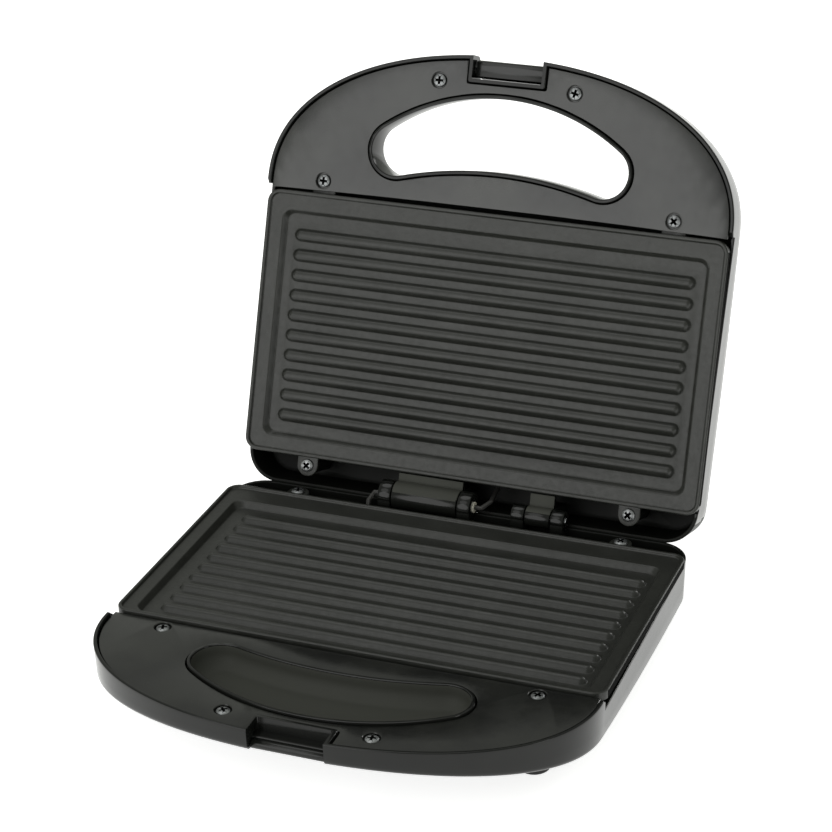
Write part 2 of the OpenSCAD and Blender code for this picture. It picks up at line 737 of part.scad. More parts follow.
module upper_heating_element() {
    color("#5c5a57") in_lid() heating_element();
}

/* Cold ends of an element: a ceramic bead and a steel pin on each leg */
bead_l = 4;
pin_l = 8;
pin_end_x = -element_half_l - bead_l - pin_l;
module element_pins() {
    for (v = [element_rear_v, element_front_v]) {
        bar(-element_half_l - bead_l, -element_half_l, v, element_h, element_r - 0.4);
        bar(pin_end_x, -element_half_l - bead_l, v, element_h, 1.2);
    }
}

module lower_element_pins() {
    color("#cfcabd") in_base() element_pins();
}

module upper_element_pins() {
    color("#cfcabd") in_lid() element_pins();
}

/* Reflector: a flat sheet under the element with an edge folded away from the plate */
reflector_half_w = element_half_l + 8;
reflector_half_l = lamp_v - carrier_w / 2 - 2 * seat - reflector_mid_v;
reflector_fold = 2.4;
sensor_hole_r = 9;
module reflector() {
    difference() {
        block(-reflector_half_w, reflector_half_w, reflector_mid_v - reflector_half_l,
            reflector_mid_v + reflector_half_l, reflector_h1 - reflector_fold, reflector_h1);
        block(-reflector_half_w + reflector_t, reflector_half_w - reflector_t,
            reflector_mid_v - reflector_half_l + reflector_t,
            reflector_mid_v + reflector_half_l - reflector_t,
            reflector_h1 - reflector_fold - cut, reflector_h1 - reflector_t);
        post(0, reflector_mid_v, reflector_h1 - 2 * cut, reflector_h1 + cut, sensor_hole_r);
        for (s = [-1, 1])
            post(s * reflector_boss_x, reflector_mid_v, reflector_h1 - 2 * cut, reflector_h1 + cut, shank_r + 0.3);
    }
}

module lower_reflector() {
    color("#b9bbbb") in_base() translate([0, 0, -seat / 2]) reflector();
}

module upper_reflector() {
    color("#b9bbbb") in_lid() translate([0, 0, -seat / 2]) reflector();
}

module reflector_screws() {
    for (s = [-1, 1])
        translate([s * reflector_boss_x, -reflector_mid_v, reflector_h1 - reflector_t - seat])
            mirror([0, 0, 1]) screw(2 * element_r);
}

module lower_reflector_screws() {
    color("#9c9d9e") in_base() reflector_screws();
}

module upper_reflector_screws() {
    color("#9c9d9e") in_lid() reflector_screws();
}

/* Thermostat against the lower plate's underside, with two tab terminals */
thermostat_r = 7;
thermostat_l = 9.5;
thermostat_h0 = floor_h - seat - thermostat_l;
module thermostat() {
    color("#d9d2c0") in_base() {
        post(0, reflector_mid_v, thermostat_h0, floor_h - seat, thermostat_r);
        for (s = [-1, 1])
            block(s * 4 - 0.4, s * 4 + 0.4, reflector_mid_v - 1.6, reflector_mid_v + 1.6,
                thermostat_h0 - 2.4, thermostat_h0 + 0.2);
    }
}

/* Terminal block on the floor of the base, in front of the cord inlet */
block_x0 = inlet_x - 12;
block_x1 = inlet_x + 12;
block_v0 = inlet_pad_in + 6;
block_v1 = block_v0 + 11;
block_h1 = -inlet_drop + 4;
block_h0 = wall + seat - depth_rear;
module terminal_block() {
    color("#e3dfd2") in_base() difference() {
        block(block_x0, block_x1, block_v0, block_v1, block_h0, block_h1);
        for (i = [-1 : 1])
            post(inlet_x + i * 7, (block_v0 + block_v1) / 2, block_h1 - 2.5, block_h1 + cut, 1.8);
    }
}

/* Rubber bush in the inlet pad: flange outside, ring inside */
bush_out_v = inlet_pad_out - seat;
module cord_bush() {
    color("#191919") in_base() translate([inlet_x, -bush_out_v, -inlet_drop]) rotate([90, 0, 0])
        difference() {
            union() {
                translate([0, 0, -2.4]) cylinder(h = 2.4, r = bush_flange_r);
                translate([0, 0, -0.1]) cylinder(h = inlet_pad_in - bush_out_v + 1.6, r = bush_r);
            }
            translate([0, 0, -2.4 - cut]) cylinder(h = inlet_pad_in - bush_out_v + 4 + 2 * cut, r = inlet_r);
        }
}

/* A lead swept along round points, eight-sided */
lead_r = 1.1;
function unit(a) = a / norm(a);
function lead_ring(path, i) = let (
        n = len(path),
        along = unit(path[min(i + 1, n - 1)] - path[max(i - 1, 0)]),
        side = unit(cross(along, abs(along[2]) > 0.9 ? [1, 0, 0] : [0, 0, 1])),
        up = cross(side, along))
    [for (k = [0 : 7]) path[i] + lead_r * (cos(45 * k) * side + sin(45 * k) * up)];
module lead(points) {
    path = [for (p = points) [p[0], -p[1], p[2]]];
    n = len(path);
    polyhedron(
        points = [for (i = [0 : n - 1]) for (p = lead_ring(path, i)) p],
        faces = concat(
            [[for (k = [0 : 7]) k], [for (k = [7 : -1 : 0]) (n - 1) * 8 + k]],
            [for (j = [0 : n - 2]) for (k = [0 : 7])
                for (tri = [[j * 8 + k, j * 8 + 8 + k, j * 8 + 8 + (k + 1) % 8],
                            [j * 8 + k, j * 8 + 8 + (k + 1) % 8, j * 8 + (k + 1) % 8]]) tri]
        )
    );
}

/* Leads in the base: inlet to block, block to element, thermostat and hinge sleeve */
low_h = -depth_rear + wall + 3.2;
sleeve_x0 = left_base[0][0] - 0.6;
sleeve_x1 = left_base[1][1] + 0.6;
module base_leads() {
    inlet_end = inlet_pad_in + 1.8;
    color("#2b2a29") in_base() {
        for (s = [-1.7, 1.7])
            lead([[inlet_x + s, inlet_end, -inlet_drop], [inlet_x + s, block_v0 - seat, -inlet_drop]]);
        lead([[inlet_x - 8, block_v1 + seat, low_h + 1], [inlet_x - 8, block_v1 + 3, low_h + 1],
              [inlet_x - 9, block_v1 + 6, low_h],
              [pin_end_x - 9, element_rear_v - 8, low_h], [pin_end_x - 9, element_rear_v - 2, reflector_h1 - 1],
              [pin_end_x - 6, element_rear_v, element_h], [pin_end_x - seat, element_rear_v, element_h]]);
        lead([[-4, reflector_mid_v, thermostat_h0 - 3.8], [-10, reflector_mid_v + 2, low_h + 0.4],
              [2 - element_half_l, element_front_v - 4, low_h + 0.4],
              [pin_end_x - 9, element_front_v - 3, reflector_h1 - 3],
              [pin_end_x - 6, element_front_v, element_h], [pin_end_x - seat, element_front_v, element_h]]);
        lead([[4, reflector_mid_v, thermostat_h0 - 3.8], [4, reflector_mid_v - 8, low_h + 0.4],
              [inlet_x / 3, block_v1 + 13, low_h], [inlet_x + 4, block_v1 + 7, low_h], [inlet_x + 3, block_v1 + 3, low_h + 1],
              [inlet_x + 3, block_v1 + seat, low_h + 1]]);
        lead([[block_x1 + seat, block_v1 - 3, low_h + 2], [block_x1 + 2, block_v1 - 3, low_h + 2],
              [sleeve_x0 - 4, 9, -8], [sleeve_x0 - 5, 3, axis_h - 3], [sleeve_x0 - 3, 0, axis_h],
              [sleeve_x0 - seat, 0, axis_h]]);
    }
}

/* Glass-fibre sleeve that carries the lid's leads through the hollow hinge bush */
module lead_sleeve() {
    color("#d8d5cb") in_base() bar(sleeve_x0, sleeve_x1, 0, axis_h, hinge_bush_r - hinge_bush_wall - 0.3);
}

module lid_leads() {
    color("#2b2a29") in_lid() {
        lead([[sleeve_x1 + seat, 0, axis_h], [sleeve_x1 + 3, 0, axis_h], [sleeve_x1 + 6, 3, axis_h - 4],
              [sleeve_x1 + 6, 8, -10], [sleeve_x1 + 4, 20, low_h], [-element_half_l / 2, 30, low_h],
              [pin_end_x - 6, element_rear_v - 10, low_h], [pin_end_x - 9, element_rear_v - 3, reflector_h1 - 1],
              [pin_end_x - 6, element_rear_v, element_h], [pin_end_x - seat, element_rear_v, element_h]]);
        lead([[pin_end_x - seat, element_front_v, element_h], [pin_end_x - 6, element_front_v, element_h],
              [pin_end_x - 9, element_front_v + 4, reflector_h1 - 3.3],
              [4 - reflector_half_w, lamp_v - 4, reflector_h1 - 4],
              [-lamp_x - carrier_w / 2 - 12, lamp_v - 1, carrier_h + 0.6],
              [-lamp_x - carrier_over - seat, lamp_v, carrier_h + 0.6]]);
        lead([[fuse_l / 2 + 3.2, fuse_v, fuse_h], [fuse_l / 2 + 6, fuse_v, fuse_h - 2],
              [fuse_l / 2 + 8, fuse_v + 2, reflector_h1 + 2.4]]);
    }
}

/* Thermal fuse on the upper plate, held by a sprung clip */
fuse_r = 2.1;
fuse_l = 22;
fuse_v = reflector_mid_v - 14;
fuse_h = floor_h - seat - fuse_r;
module thermal_fuse() {
    color("#e8e4da") in_lid() {
        bar(-fuse_l / 2, fuse_l / 2, fuse_v, fuse_h, fuse_r);
        for (s = [-1, 1])
            bar(min(s * fuse_l / 2, s * (fuse_l / 2 + 3)), max(s * fuse_l / 2, s * (fuse_l / 2 + 3)),
                fuse_v, fuse_h, 0.5);
    }
}

module fuse_clip() {
    t = 0.6;
    r = fuse_r + seat;
    color("#a8a9a6") in_lid() difference() {
        union() {
            bar(-4, 4, fuse_v, fuse_h, r + t);
            block(-4, 4, fuse_v - r - 5, fuse_v + r + 5, floor_h - seat / 2 - t, floor_h - seat / 2);
        }
        bar(-5, 5, fuse_v, fuse_h, r);
        block(-5, 5, fuse_v - r, fuse_v + r, fuse_h, floor_h + cut);
        block(-5, 5, fuse_v - r - 6, fuse_v + r + 6, floor_h - seat / 2, floor_h + cut);
    }
}

/* Indicator lamps: coloured lenses in the lid's skin, lamps and their carrier behind */
lens_h1 = -skin_depth(lamp_v) + 4;
lens_h0 = -skin_depth(lamp_v) - skin_crown - 1;
lens_bore_r = lens_r - 1.1;
module lens(x) {
    in_lid() difference() {
        union() {
            post(x, lamp_v, lens_h0 + 1, lens_h1, lens_r);
            translate([x, -lamp_v, lens_h0]) cylinder(h = 1, r1 = lens_r - 1, r2 = lens_r);
            post(x, lamp_v, lens_h1 - 0.6, lens_h1, lens_r + 1.2);
        }
        post(x, lamp_v, lens_h0 + 2.2, lens_h1 + cut, lens_bore_r);
    }
}

module red_lens() {
    color("#b3201c") lens(-lamp_x);
}

module green_lens() {
    color("#1f8a3a") lens(lamp_x);
}

carrier_h = lens_h1 + 2.6;
carrier_t = 1.5;
carrier_over = 8;
carrier_leg = 4;              // half width of the carrier's legs
lamp_bulb_r = 2.6;
module lamp_carrier() {
    x1 = lamp_x + carrier_over;
    color("#d5d0c4") in_lid() difference() {
        union() {
            block(-x1, x1, lamp_v - carrier_w / 2, lamp_v + carrier_w / 2, carrier_h, carrier_h + carrier_t);
            for (s = [-1, 1])
                block(min(s * (x1 - carrier_t), s * x1), max(s * (x1 - carrier_t), s * x1),
                    lamp_v - carrier_leg, lamp_v + carrier_leg,
                    wall + seat + skin_crown / 2 - skin_depth(lamp_v - carrier_leg), carrier_h + seat);
        }
        for (s = [-1, 1])
            post(s * lamp_x, lamp_v, carrier_h - cut, carrier_h + carrier_t + cut, lamp_bulb_r + run_gap);
    }
}

module indicator_lamps() {
    color("#e9c9a0") in_lid() for (s = [-1, 1])
        post(s * lamp_x, lamp_v, lens_h0 + 2.6, carrier_h + carrier_t + 0.5, lamp_bulb_r);
}

/* Hinge pin on the right and hollow bush on the left */
module hinge_pin() {
    color("#b4b5b6") in_base() bar(right_base[0][0] - 0.6, right_base[1][1] + 0.6, 0, axis_h, hinge_pin_r);
}

module hinge_bush() {
    color("#b4b5b6") in_base() difference() {
        bar(left_base[0][0], left_base[1][1], 0, axis_h, hinge_bush_r);
        bar(left_base[0][0] - cut, left_base[1][1] + cut, 0, axis_h, hinge_bush_r - hinge_bush_wall);
    }
}

/* Rubber feet plugged into the posts */
module rubber_feet() {
    color("#141414") in_base() for (x = [-foot_x, foot_x]) for (v = [foot_front_v, foot_rear_v]) {
        post(x, v, -panel_z, foot_h - panel_z - seat / 2, foot_r);
        post(x, v, foot_h - panel_z - cut, foot_h - panel_z + plug_l, plug_r);
    }
}

/* Latch: barrel, arm, hook and finger lip. Drawn hooked, then folded back for the open pose */
latch_half_w = notch_half_w - 0.5;
finger_lip = 1.6;
groove_r = 9;
groove_depth = 0.8;
module latch_hooked() {
    difference() {
        union() {
            bar(-latch_half_w, latch_half_w, 0, 0, latch_barrel_r);
            latch_block(0, latch_arm_out, -latch_barrel_r, latch_barrel_r);
            latch_block(latch_arm_in, latch_arm_out, 0, hook_reach);
            latch_block(latch_arm_in - hook_nib, latch_arm_out, hook_reach - hook_t, hook_reach);
            latch_block(latch_arm_in, latch_arm_out + finger_lip, hook_reach - 2.4, hook_reach);
        }
        bar(-latch_half_w - cut, latch_half_w + cut, 0, 0, latch_pin_r + run_gap);
        bar(-latch_half_w - cut, latch_half_w + cut, latch_arm_out / 2,
            groove_depth - groove_r - latch_barrel_r, groove_r);
    }
}

module latch_block(v0, v1, h0, h1) {
    block(-latch_half_w, latch_half_w, v0, v1, h0, h1);
}

module latch() {
    color("#1d1e1d") in_lid() translate([0, -latch_pivot_v, -latch_pivot_drop])
        rotate([latch_swing, 0, 0]) latch_hooked();
}

module latch_pin() {
    color("#9fa0a1") in_lid()
        bar(-notch_wall_x - 0.4, notch_wall_x + 0.4, latch_pivot_v, -latch_pivot_drop, latch_pin_r);
}

base_shell();
base_handle_cover();
lower_plate();
lower_heating_element();
lower_element_pins();
lower_reflector();
thermostat();
terminal_block();
cord_bush();
base_leads();
lead_sleeve();
hinge_pin();
hinge_bush();
rubber_feet();
base_cover_screws();
lower_plate_screws();
lower_reflector_screws();
lid_shell();
lid_handle_cover();
upper_plate();
upper_heating_element();
upper_element_pins();
upper_reflector();
thermal_fuse();
fuse_clip();
lamp_carrier();
indicator_lamps();
red_lens();
green_lens();
lid_leads();
lid_cover_screws();
upper_plate_screws();
upper_reflector_screws();
latch_pin();
latch();
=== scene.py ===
import json
import math

import bmesh
import bpy
from mathutils import Matrix, Vector

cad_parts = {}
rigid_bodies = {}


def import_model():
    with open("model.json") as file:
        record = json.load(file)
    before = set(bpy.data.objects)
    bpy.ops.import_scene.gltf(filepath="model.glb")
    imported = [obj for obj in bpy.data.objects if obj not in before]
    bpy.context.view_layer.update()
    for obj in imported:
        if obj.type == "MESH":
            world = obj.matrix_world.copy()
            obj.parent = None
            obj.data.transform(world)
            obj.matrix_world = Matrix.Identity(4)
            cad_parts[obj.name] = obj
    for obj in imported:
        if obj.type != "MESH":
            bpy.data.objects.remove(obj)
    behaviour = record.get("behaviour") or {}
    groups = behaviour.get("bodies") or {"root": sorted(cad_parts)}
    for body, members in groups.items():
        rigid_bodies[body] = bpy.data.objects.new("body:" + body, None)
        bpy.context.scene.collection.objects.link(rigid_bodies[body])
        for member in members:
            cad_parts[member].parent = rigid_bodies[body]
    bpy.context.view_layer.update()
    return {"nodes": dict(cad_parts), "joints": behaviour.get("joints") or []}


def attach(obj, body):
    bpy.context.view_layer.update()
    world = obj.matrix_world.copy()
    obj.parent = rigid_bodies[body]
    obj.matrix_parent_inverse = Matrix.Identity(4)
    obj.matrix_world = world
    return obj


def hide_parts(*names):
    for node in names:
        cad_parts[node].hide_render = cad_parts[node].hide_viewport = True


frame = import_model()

mm = 0.001
joints = {joint["name"]: joint for joint in frame["joints"]}
hingeY = joints["lid_hinge"]["pos_m"][1] / mm
hingeZ = joints["lid_hinge"]["pos_m"][2] / mm

# Both halves are drawn flat in millimetres: x across, y = -v with v counted from the hinge line
# to the front, z = h above the panel plane. Each finished piece is then put in its place.
layout = {"panelGap": 4.0, "openAngle": 110.2}
panelZ = hingeZ - layout["panelGap"] / 2
basePlace = Matrix.Translation((0, hingeY * mm, panelZ * mm)) @ Matrix.Scale(mm, 4)
lidPlace = (Matrix.Translation((0, hingeY * mm, hingeZ * mm))
            @ Matrix.Rotation(math.radians(-layout["openAngle"]), 4, "X")
            @ Matrix.Translation((0, 0, layout["panelGap"] / 2 * mm))
            @ Matrix.Diagonal((mm, mm, -mm, 1)))


# Mesh tools

def selectOnly(piece):
    if bpy.context.mode != "OBJECT":
        bpy.ops.object.mode_set(mode="OBJECT")
    bpy.ops.object.select_all(action="DESELECT")
    piece.select_set(True)
    bpy.context.view_layer.objects.active = piece


def pickVertices(piece, test):
    # selects in edit mode by index and place
    bpy.ops.mesh.select_all(action="DESELECT")
    mesh = bmesh.from_edit_mesh(piece.data)
    for vertex in mesh.verts:
        if test(vertex.index, vertex.co):
            vertex.select = True
    mesh.select_flush(True)
    bmesh.update_edit_mesh(piece.data)


def pickFaces(piece, test):
    bpy.ops.mesh.select_all(action="DESELECT")
    mesh = bmesh.from_edit_mesh(piece.data)
    for face in mesh.faces:
        face.select = test(face.calc_center_median(), face.normal)
    mesh.select_flush(True)
    bmesh.update_edit_mesh(piece.data)


def useModifier(piece, kind, **settings):
    selectOnly(piece)
    modifier = piece.modifiers.new(kind.title(), kind)
    for key, value in settings.items():
        setattr(modifier, key, value)
    bpy.ops.object.modifier_apply(modifier=modifier.name)
    return piece


def combine(piece, tool, operation):
    useModifier(piece, "BOOLEAN", operation=operation, solver="MANIFOLD", object=tool)
    bpy.data.objects.remove(tool, do_unlink=True)
    if not piece.data.vertices:
        raise ValueError("nothing is left of " + piece.name)
    return piece


def turnOutwards(piece):
    selectOnly(piece)
    bpy.ops.object.mode_set(mode="EDIT")
    bpy.ops.mesh.select_all(action="SELECT")
    bpy.ops.mesh.normals_make_consistent(inside=False)
    if bmesh.from_edit_mesh(piece.data).calc_volume(signed=True) < 0:
        bpy.ops.mesh.flip_normals()
    bpy.ops.object.mode_set(mode="OBJECT")
    return piece


def ringLoft(name, rings, closed=False):
    # circles of vertices, each moved onto its ring, then bridged one to the next and capped
    count = len(rings[0])
    bpy.ops.object.select_all(action="DESELECT")
    bpy.ops.mesh.primitive_circle_add(vertices=count, radius=1)
    piece = bpy.context.object
    piece.name = piece.data.name = name
    bpy.ops.object.mode_set(mode="EDIT")
    for ring in rings[1:]:
        bpy.ops.mesh.primitive_circle_add(vertices=count, radius=1)
    bpy.ops.object.mode_set(mode="OBJECT")
    places = [point for ring in rings for point in ring]
    piece.data.vertices.foreach_set("co", [value for point in places for value in point])
    bpy.ops.object.mode_set(mode="EDIT")
    pairs = [(k, k + 1) for k in range(len(rings) - 1)] + ([(len(rings) - 1, 0)] if closed else [])
    for first, second in pairs:
        pickVertices(piece, lambda index, place: index // count in (first, second))
        bpy.ops.mesh.bridge_edge_loops()
    if not closed:
        for end in (0, len(rings) - 1):
            pickVertices(piece, lambda index, place: index // count == end)
            bpy.ops.mesh.edge_face_add()
    return turnOutwards(piece)


def flatPlate(name, loops, low, high, soften=0.0, segments=2):
    # closed outlines, filled flat with the inner ones left open, drawn up to a thickness
    bpy.ops.object.select_all(action="DESELECT")
    bpy.ops.mesh.primitive_circle_add(vertices=len(loops[0]), radius=1)
    piece = bpy.context.object
    piece.name = piece.data.name = name
    bpy.ops.object.mode_set(mode="EDIT")
    for loop in loops[1:]:
        bpy.ops.mesh.primitive_circle_add(vertices=len(loop), radius=1)
    bpy.ops.object.mode_set(mode="OBJECT")
    places = [(x, y, low) for loop in loops for x, y in loop]
    piece.data.vertices.foreach_set("co", [value for point in places for value in point])
    bpy.ops.object.mode_set(mode="EDIT")
    bpy.ops.mesh.select_all(action="SELECT")
    if len(loops) == 1:
        bpy.ops.mesh.edge_face_add()
    else:
        bpy.ops.mesh.fill(use_beauty=True)
    bpy.ops.mesh.select_all(action="SELECT")
    bpy.ops.mesh.extrude_region_move(TRANSFORM_OT_translate={"value": (0, 0, high - low)})
    turnOutwards(piece)
    if soften:
        useModifier(piece, "BEVEL", width=soften, segments=segments, limit_method="ANGLE",
                    angle_limit=math.radians(40), use_clamp_overlap=True)
    return piece


def softBox(name, low, high, soften=0.0, segments=2):
    size = [b - a for a, b in zip(low, high)]
    bpy.ops.object.select_all(action="DESELECT")
    bpy.ops.mesh.primitive_cube_add(size=1, location=[(a + b) / 2 for a, b in zip(low, high)], scale=size)
    piece = bpy.context.object
    piece.name = piece.data.name = name
    bpy.ops.object.transform_apply(location=True, rotation=True, scale=True)
    if soften:
        useModifier(piece, "BEVEL", width=soften, segments=segments, limit_method="NONE")
    return piece


def turnedPiece(name, profile, steps=48):
    # a lathe shape: (radius, height) points spun round the upright axis
    rings = [[(radius * math.cos(2 * math.pi * i / steps), radius * math.sin(2 * math.pi * i / steps), height)
              for i in range(steps)] for radius, height in profile]
    return ringLoft(name, rings)


def moveMesh(piece, matrix):
    piece.data.transform(matrix)
    if matrix.determinant() < 0:
        piece.data.flip_normals()
    piece.data.update()
    return piece


def copyPiece(piece, name, matrix=Matrix.Identity(4)):
    twin = piece.copy()
    twin.data = piece.data.copy()
    twin.name = twin.data.name = name
    bpy.context.scene.collection.objects.link(twin)
    return moveMesh(twin, matrix)


def joinPieces(pieces, name):
    selectOnly(pieces[0])
    for piece in pieces[1:]:
        piece.select_set(True)
    bpy.ops.object.join()
    bpy.context.object.name = bpy.context.object.data.name = name
    return bpy.context.object


def markFaces(piece, name, test):
    # writes 1 on the picked faces and 0 on the others, for a material to read
    mark = piece.data.attributes.new(name, "FLOAT", "FACE")
    mark.data.foreach_set("value", [float(test(face.center, face.normal)) for face in piece.data.polygons])
    return piece


def finishPiece(piece, place, material, body, replaced=(), sharp=32, tidy=0.0005):
    selectOnly(piece)
    bpy.ops.object.mode_set(mode="EDIT")
    bpy.ops.mesh.select_all(action="SELECT")
    bpy.ops.mesh.remove_doubles(threshold=tidy)
    bpy.ops.mesh.delete_loose()
    bpy.ops.object.mode_set(mode="OBJECT")
    moveMesh(piece, place)
    bpy.ops.object.shade_smooth_by_angle(angle=math.radians(sharp))
    piece.data.materials.clear()
    piece.data.materials.append(material)
    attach(piece, body)
    if replaced:
        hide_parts(*replaced)
    return piece


def mix(a, b, share):
    return a + (b - a) * share


# Material tools

def linearColour(code):
    # sRGB hex to linear
    channels = [int(code[i:i + 2], 16) / 255 for i in (1, 3, 5)]
    return [c / 12.92 if c <= 0.04045 else ((c + 0.055) / 1.055) ** 2.4 for c in channels] + [1.0]


def newMaterial(name):
    material = bpy.data.materials.new(name)
    material.use_nodes = True
    material.node_tree.nodes.clear()
    return material


def addNode(material, kind, settings=None, links=None):
    # settings go to properties or to sockets left unlinked; links are {socket: (node, output)}
    tree = material.node_tree
    node = tree.nodes.new(kind)
    for key, value in (settings or {}).items():
        if isinstance(key, int) or key in node.inputs:
            node.inputs[key].default_value = value
        else:
            setattr(node, key, value)
    for key, (source, output) in (links or {}).items():
        tree.links.new(source.outputs[output], node.inputs[key])
    return node


def setRamp(node, stops):
    # stops are (position, colour) pairs
    ramp = node.color_ramp
    while len(ramp.elements) < len(stops):
        ramp.elements.new(0.5)
    for element, (position, colour) in zip(ramp.elements, stops):
        element.position = position
        element.color = colour
    return node


def grey(value):
    return (value, value, value, 1.0)


# Housing halves

shell = {
    "halfWidthFront": 109.5, "halfWidthRear": 107.6, "cornerRadius": 15.0, "rearOverhang": 3.5,
    "sideLength": 135.7, "noseLength": 65.28, "noseSquareness": 2.18,
    "depthRear": 24.3, "depthFront": 9.0, "depthCurve": 2.4, "wallLean": 0.04,
    "edgeRadius": 3.0, "crown": 1.2, "skinMiddle": 98.0, "wall": 2.4,
    "lipHeight": 1.2, "lipWidth": 1.7, "rimRound": 0.45,
    "sideDrop": 4.2, "baseRearDrop": 2.2, "lidRearDrop": 3.0, "lipStart": (133.7, 136.2),
}
frontReach = shell["sideLength"] + shell["noseLength"]


def outlinePoint(kind, value, inset):
    # a point of the outline's right half, moved in by inset; value runs along its stretch
    s = shell
    if kind == "rear":
        return value * (s["halfWidthRear"] - s["cornerRadius"]), inset - s["rearOverhang"]
    if kind == "corner":
        r, a = s["cornerRadius"], math.radians(90 * value)
        return (s["halfWidthRear"] - r + (r - inset) * math.sin(a),
                r - s["rearOverhang"] - (r - inset) * math.cos(a))
    if kind == "side":
        start = s["cornerRadius"] - s["rearOverhang"]
        share = (value - start) / (s["sideLength"] - start)
        return mix(s["halfWidthRear"], s["halfWidthFront"], share) - inset, value
    a = math.radians(90 * value)
    power = 2 / s["noseSquareness"]
    return ((s["halfWidthFront"] - inset) * max(math.cos(a), 0) ** power,
            s["sideLength"] + (s["noseLength"] - inset) * math.sin(a) ** power)


def shellStations():
    lipFrom, lipTo = shell["lipStart"]
    stations = [("rear", i / 6) for i in range(6)]
    stations += [("corner", i / 14) for i in range(15)]
    stations += [("side", v) for v in (12.2, 17, 24, 31, 38, 45, 52, 59, 66, 73, 80, 87, 94, 101, 108,
                                       115, 122, 128, 132, lipFrom - 0.2, lipFrom, mix(lipFrom, lipTo, 0.45))]
    stations += [("nose", (i / 54) ** 1.12) for i in range(55)]
    return stations


def mirrorStations(stations, pointOf):
    # right half and its mirror image; the first and last station lie on the middle line
    right = [pointOf(station) for station in stations]
    return right + [(-x, y, z) for x, y, z in reversed(right[1:-1])]


def skinDepth(v):
    s = shell
    return s["depthRear"] - (s["depthRear"] - s["depthFront"]) * (max(v, 0) / frontReach) ** s["depthCurve"]


def rimHeight(station, rearDrop):
    kind, value = station
    lipFrom, lipTo = shell["lipStart"]
    if kind in ("rear", "corner"):
        return -rearDrop
    if kind == "nose":
        return shell["lipHeight"]
    if value < lipFrom:
        return -shell["sideDrop"]
    return mix(-0.4, shell["lipHeight"], min((value - lipFrom) / (lipTo - lipFrom), 1))


leanLength = math.sqrt(1 + shell["wallLean"] ** 2)
leanAngle = math.atan2(1, shell["wallLean"])


def skinEdge(station, thick=0.0, radius=None):
    # inset and depth where the wall's rounding meets the skin
    depth = skinDepth(outlinePoint(*station, 0)[1]) - thick
    radius = shell["edgeRadius"] if radius is None else radius
    return shell["wallLean"] * (depth - radius) + radius * leanLength, depth, radius


def wallRing(station, inset, height):
    x, v = outlinePoint(*station, inset)
    return x, -v, height


def roundingRing(station, share, thick=0.0, shrink=0.0, radius=None):
    inset, depth, radius = skinEdge(station, thick, radius)
    a = leanAngle * share
    x, v = outlinePoint(*station, shrink + inset - radius * math.sin(a))
    return x, -v, -(depth - radius + radius * math.cos(a))


def crownRing(station, q, thick=0.0, shrink=0.0, radius=None):
    inset, _, _ = skinEdge(station, thick, radius)
    x, v = outlinePoint(*station, shrink + inset)
    v = mix(shell["skinMiddle"], v, q)
    return x * q, -v, -(skinDepth(v) - thick + shell["crown"] * (1 - q * q))


def skinAt(x, v):
    # true depth of the outer skin under a point of the plan, its crown included
    angle = math.atan2(v - shell["skinMiddle"], abs(x))
    reach = math.hypot(x, v - shell["skinMiddle"])
    best = None
    for (a0, r0), (a1, r1) in zip(skinReach, skinReach[1:]):
        if a0 <= angle <= a1:
            best = mix(r0, r1, (angle - a0) / (a1 - a0))
    q = min(reach / (best or reach), 1)
    return skinDepth(v) + shell["crown"] * (1 - q * q)


skinReach = []
for station in shellStations():
    edgeX, edgeV = outlinePoint(*station, skinEdge(station)[0])
    skinReach.append((math.atan2(edgeV - shell["skinMiddle"], edgeX), math.hypot(edgeX, edgeV - shell["skinMiddle"])))


def outerRings(stations, grow=0.0):
    s = shell
    rings = [mirrorStations(stations, lambda t: crownRing(t, q, grow, grow))
             for q in (0.06, 0.2, 0.36, 0.52, 0.68, 0.82, 0.93)]
    rings += [mirrorStations(stations, lambda t: roundingRing(t, share, grow, grow))
              for share in (0, 0.15, 0.3, 0.46, 0.62, 0.8, 1)]
    return rings


def bodyRings(rearDrop):
    s = shell
    stations = shellStations()
    rings = outerRings(stations)
    top = s["rimRound"]

    def outerWall(t, share):
        _, depth, radius = skinEdge(t)
        low = depth - radius + radius * math.cos(leanAngle)
        high = max(0, top - rimHeight(t, rearDrop) + 0.3)
        e = mix(low, high, share)
        return wallRing(t, s["wallLean"] * e, -e)

    def rim(t, side, angle):
        # the rounded top edge: side 0 is its outer corner, 1 its inner corner
        height = rimHeight(t, rearDrop)
        inset = s["wallLean"] * max(top - height, 0)
        a = math.radians(angle)
        across = top * (1 - math.cos(a)) if side == 0 else s["lipWidth"] - top * (1 - math.sin(a))
        rise = top * (1 - math.sin(a)) if side == 0 else top * (1 - math.cos(a))
        return wallRing(t, inset + across, height - rise)

    def innerWall(t, share):
        low = skinDepth(outlinePoint(*t, 0)[1]) - s["wall"] - 2.5
        e = mix(top - rimHeight(t, rearDrop) + 0.8, low, share)
        return wallRing(t, mix(s["lipWidth"], s["wall"], share) + s["wallLean"] * max(e, 0), -e)

    rings += [mirrorStations(stations, lambda t: outerWall(t, share)) for share in (0.35, 0.7, 1)]
    rings += [mirrorStations(stations, lambda t: rim(t, 0, angle)) for angle in (0, 30, 60, 90)]
    rings += [mirrorStations(stations, lambda t: rim(t, 1, angle)) for angle in (0, 30, 60, 90)]
    rings += [mirrorStations(stations, lambda t: innerWall(t, share)) for share in (0, 0.5, 1)]
    rings += [mirrorStations(stations, lambda t: roundingRing(t, share, s["wall"], s["wall"], 2.0))
              for share in (0.6, 0)]
    rings += [mirrorStations(stations, lambda t: crownRing(t, q, s["wall"], s["wall"], 2.0))
              for q in (0.75, 0.4, 0.08)]
    return rings


# Finger opening: two round ends, a bowed front and a hollow rear edge

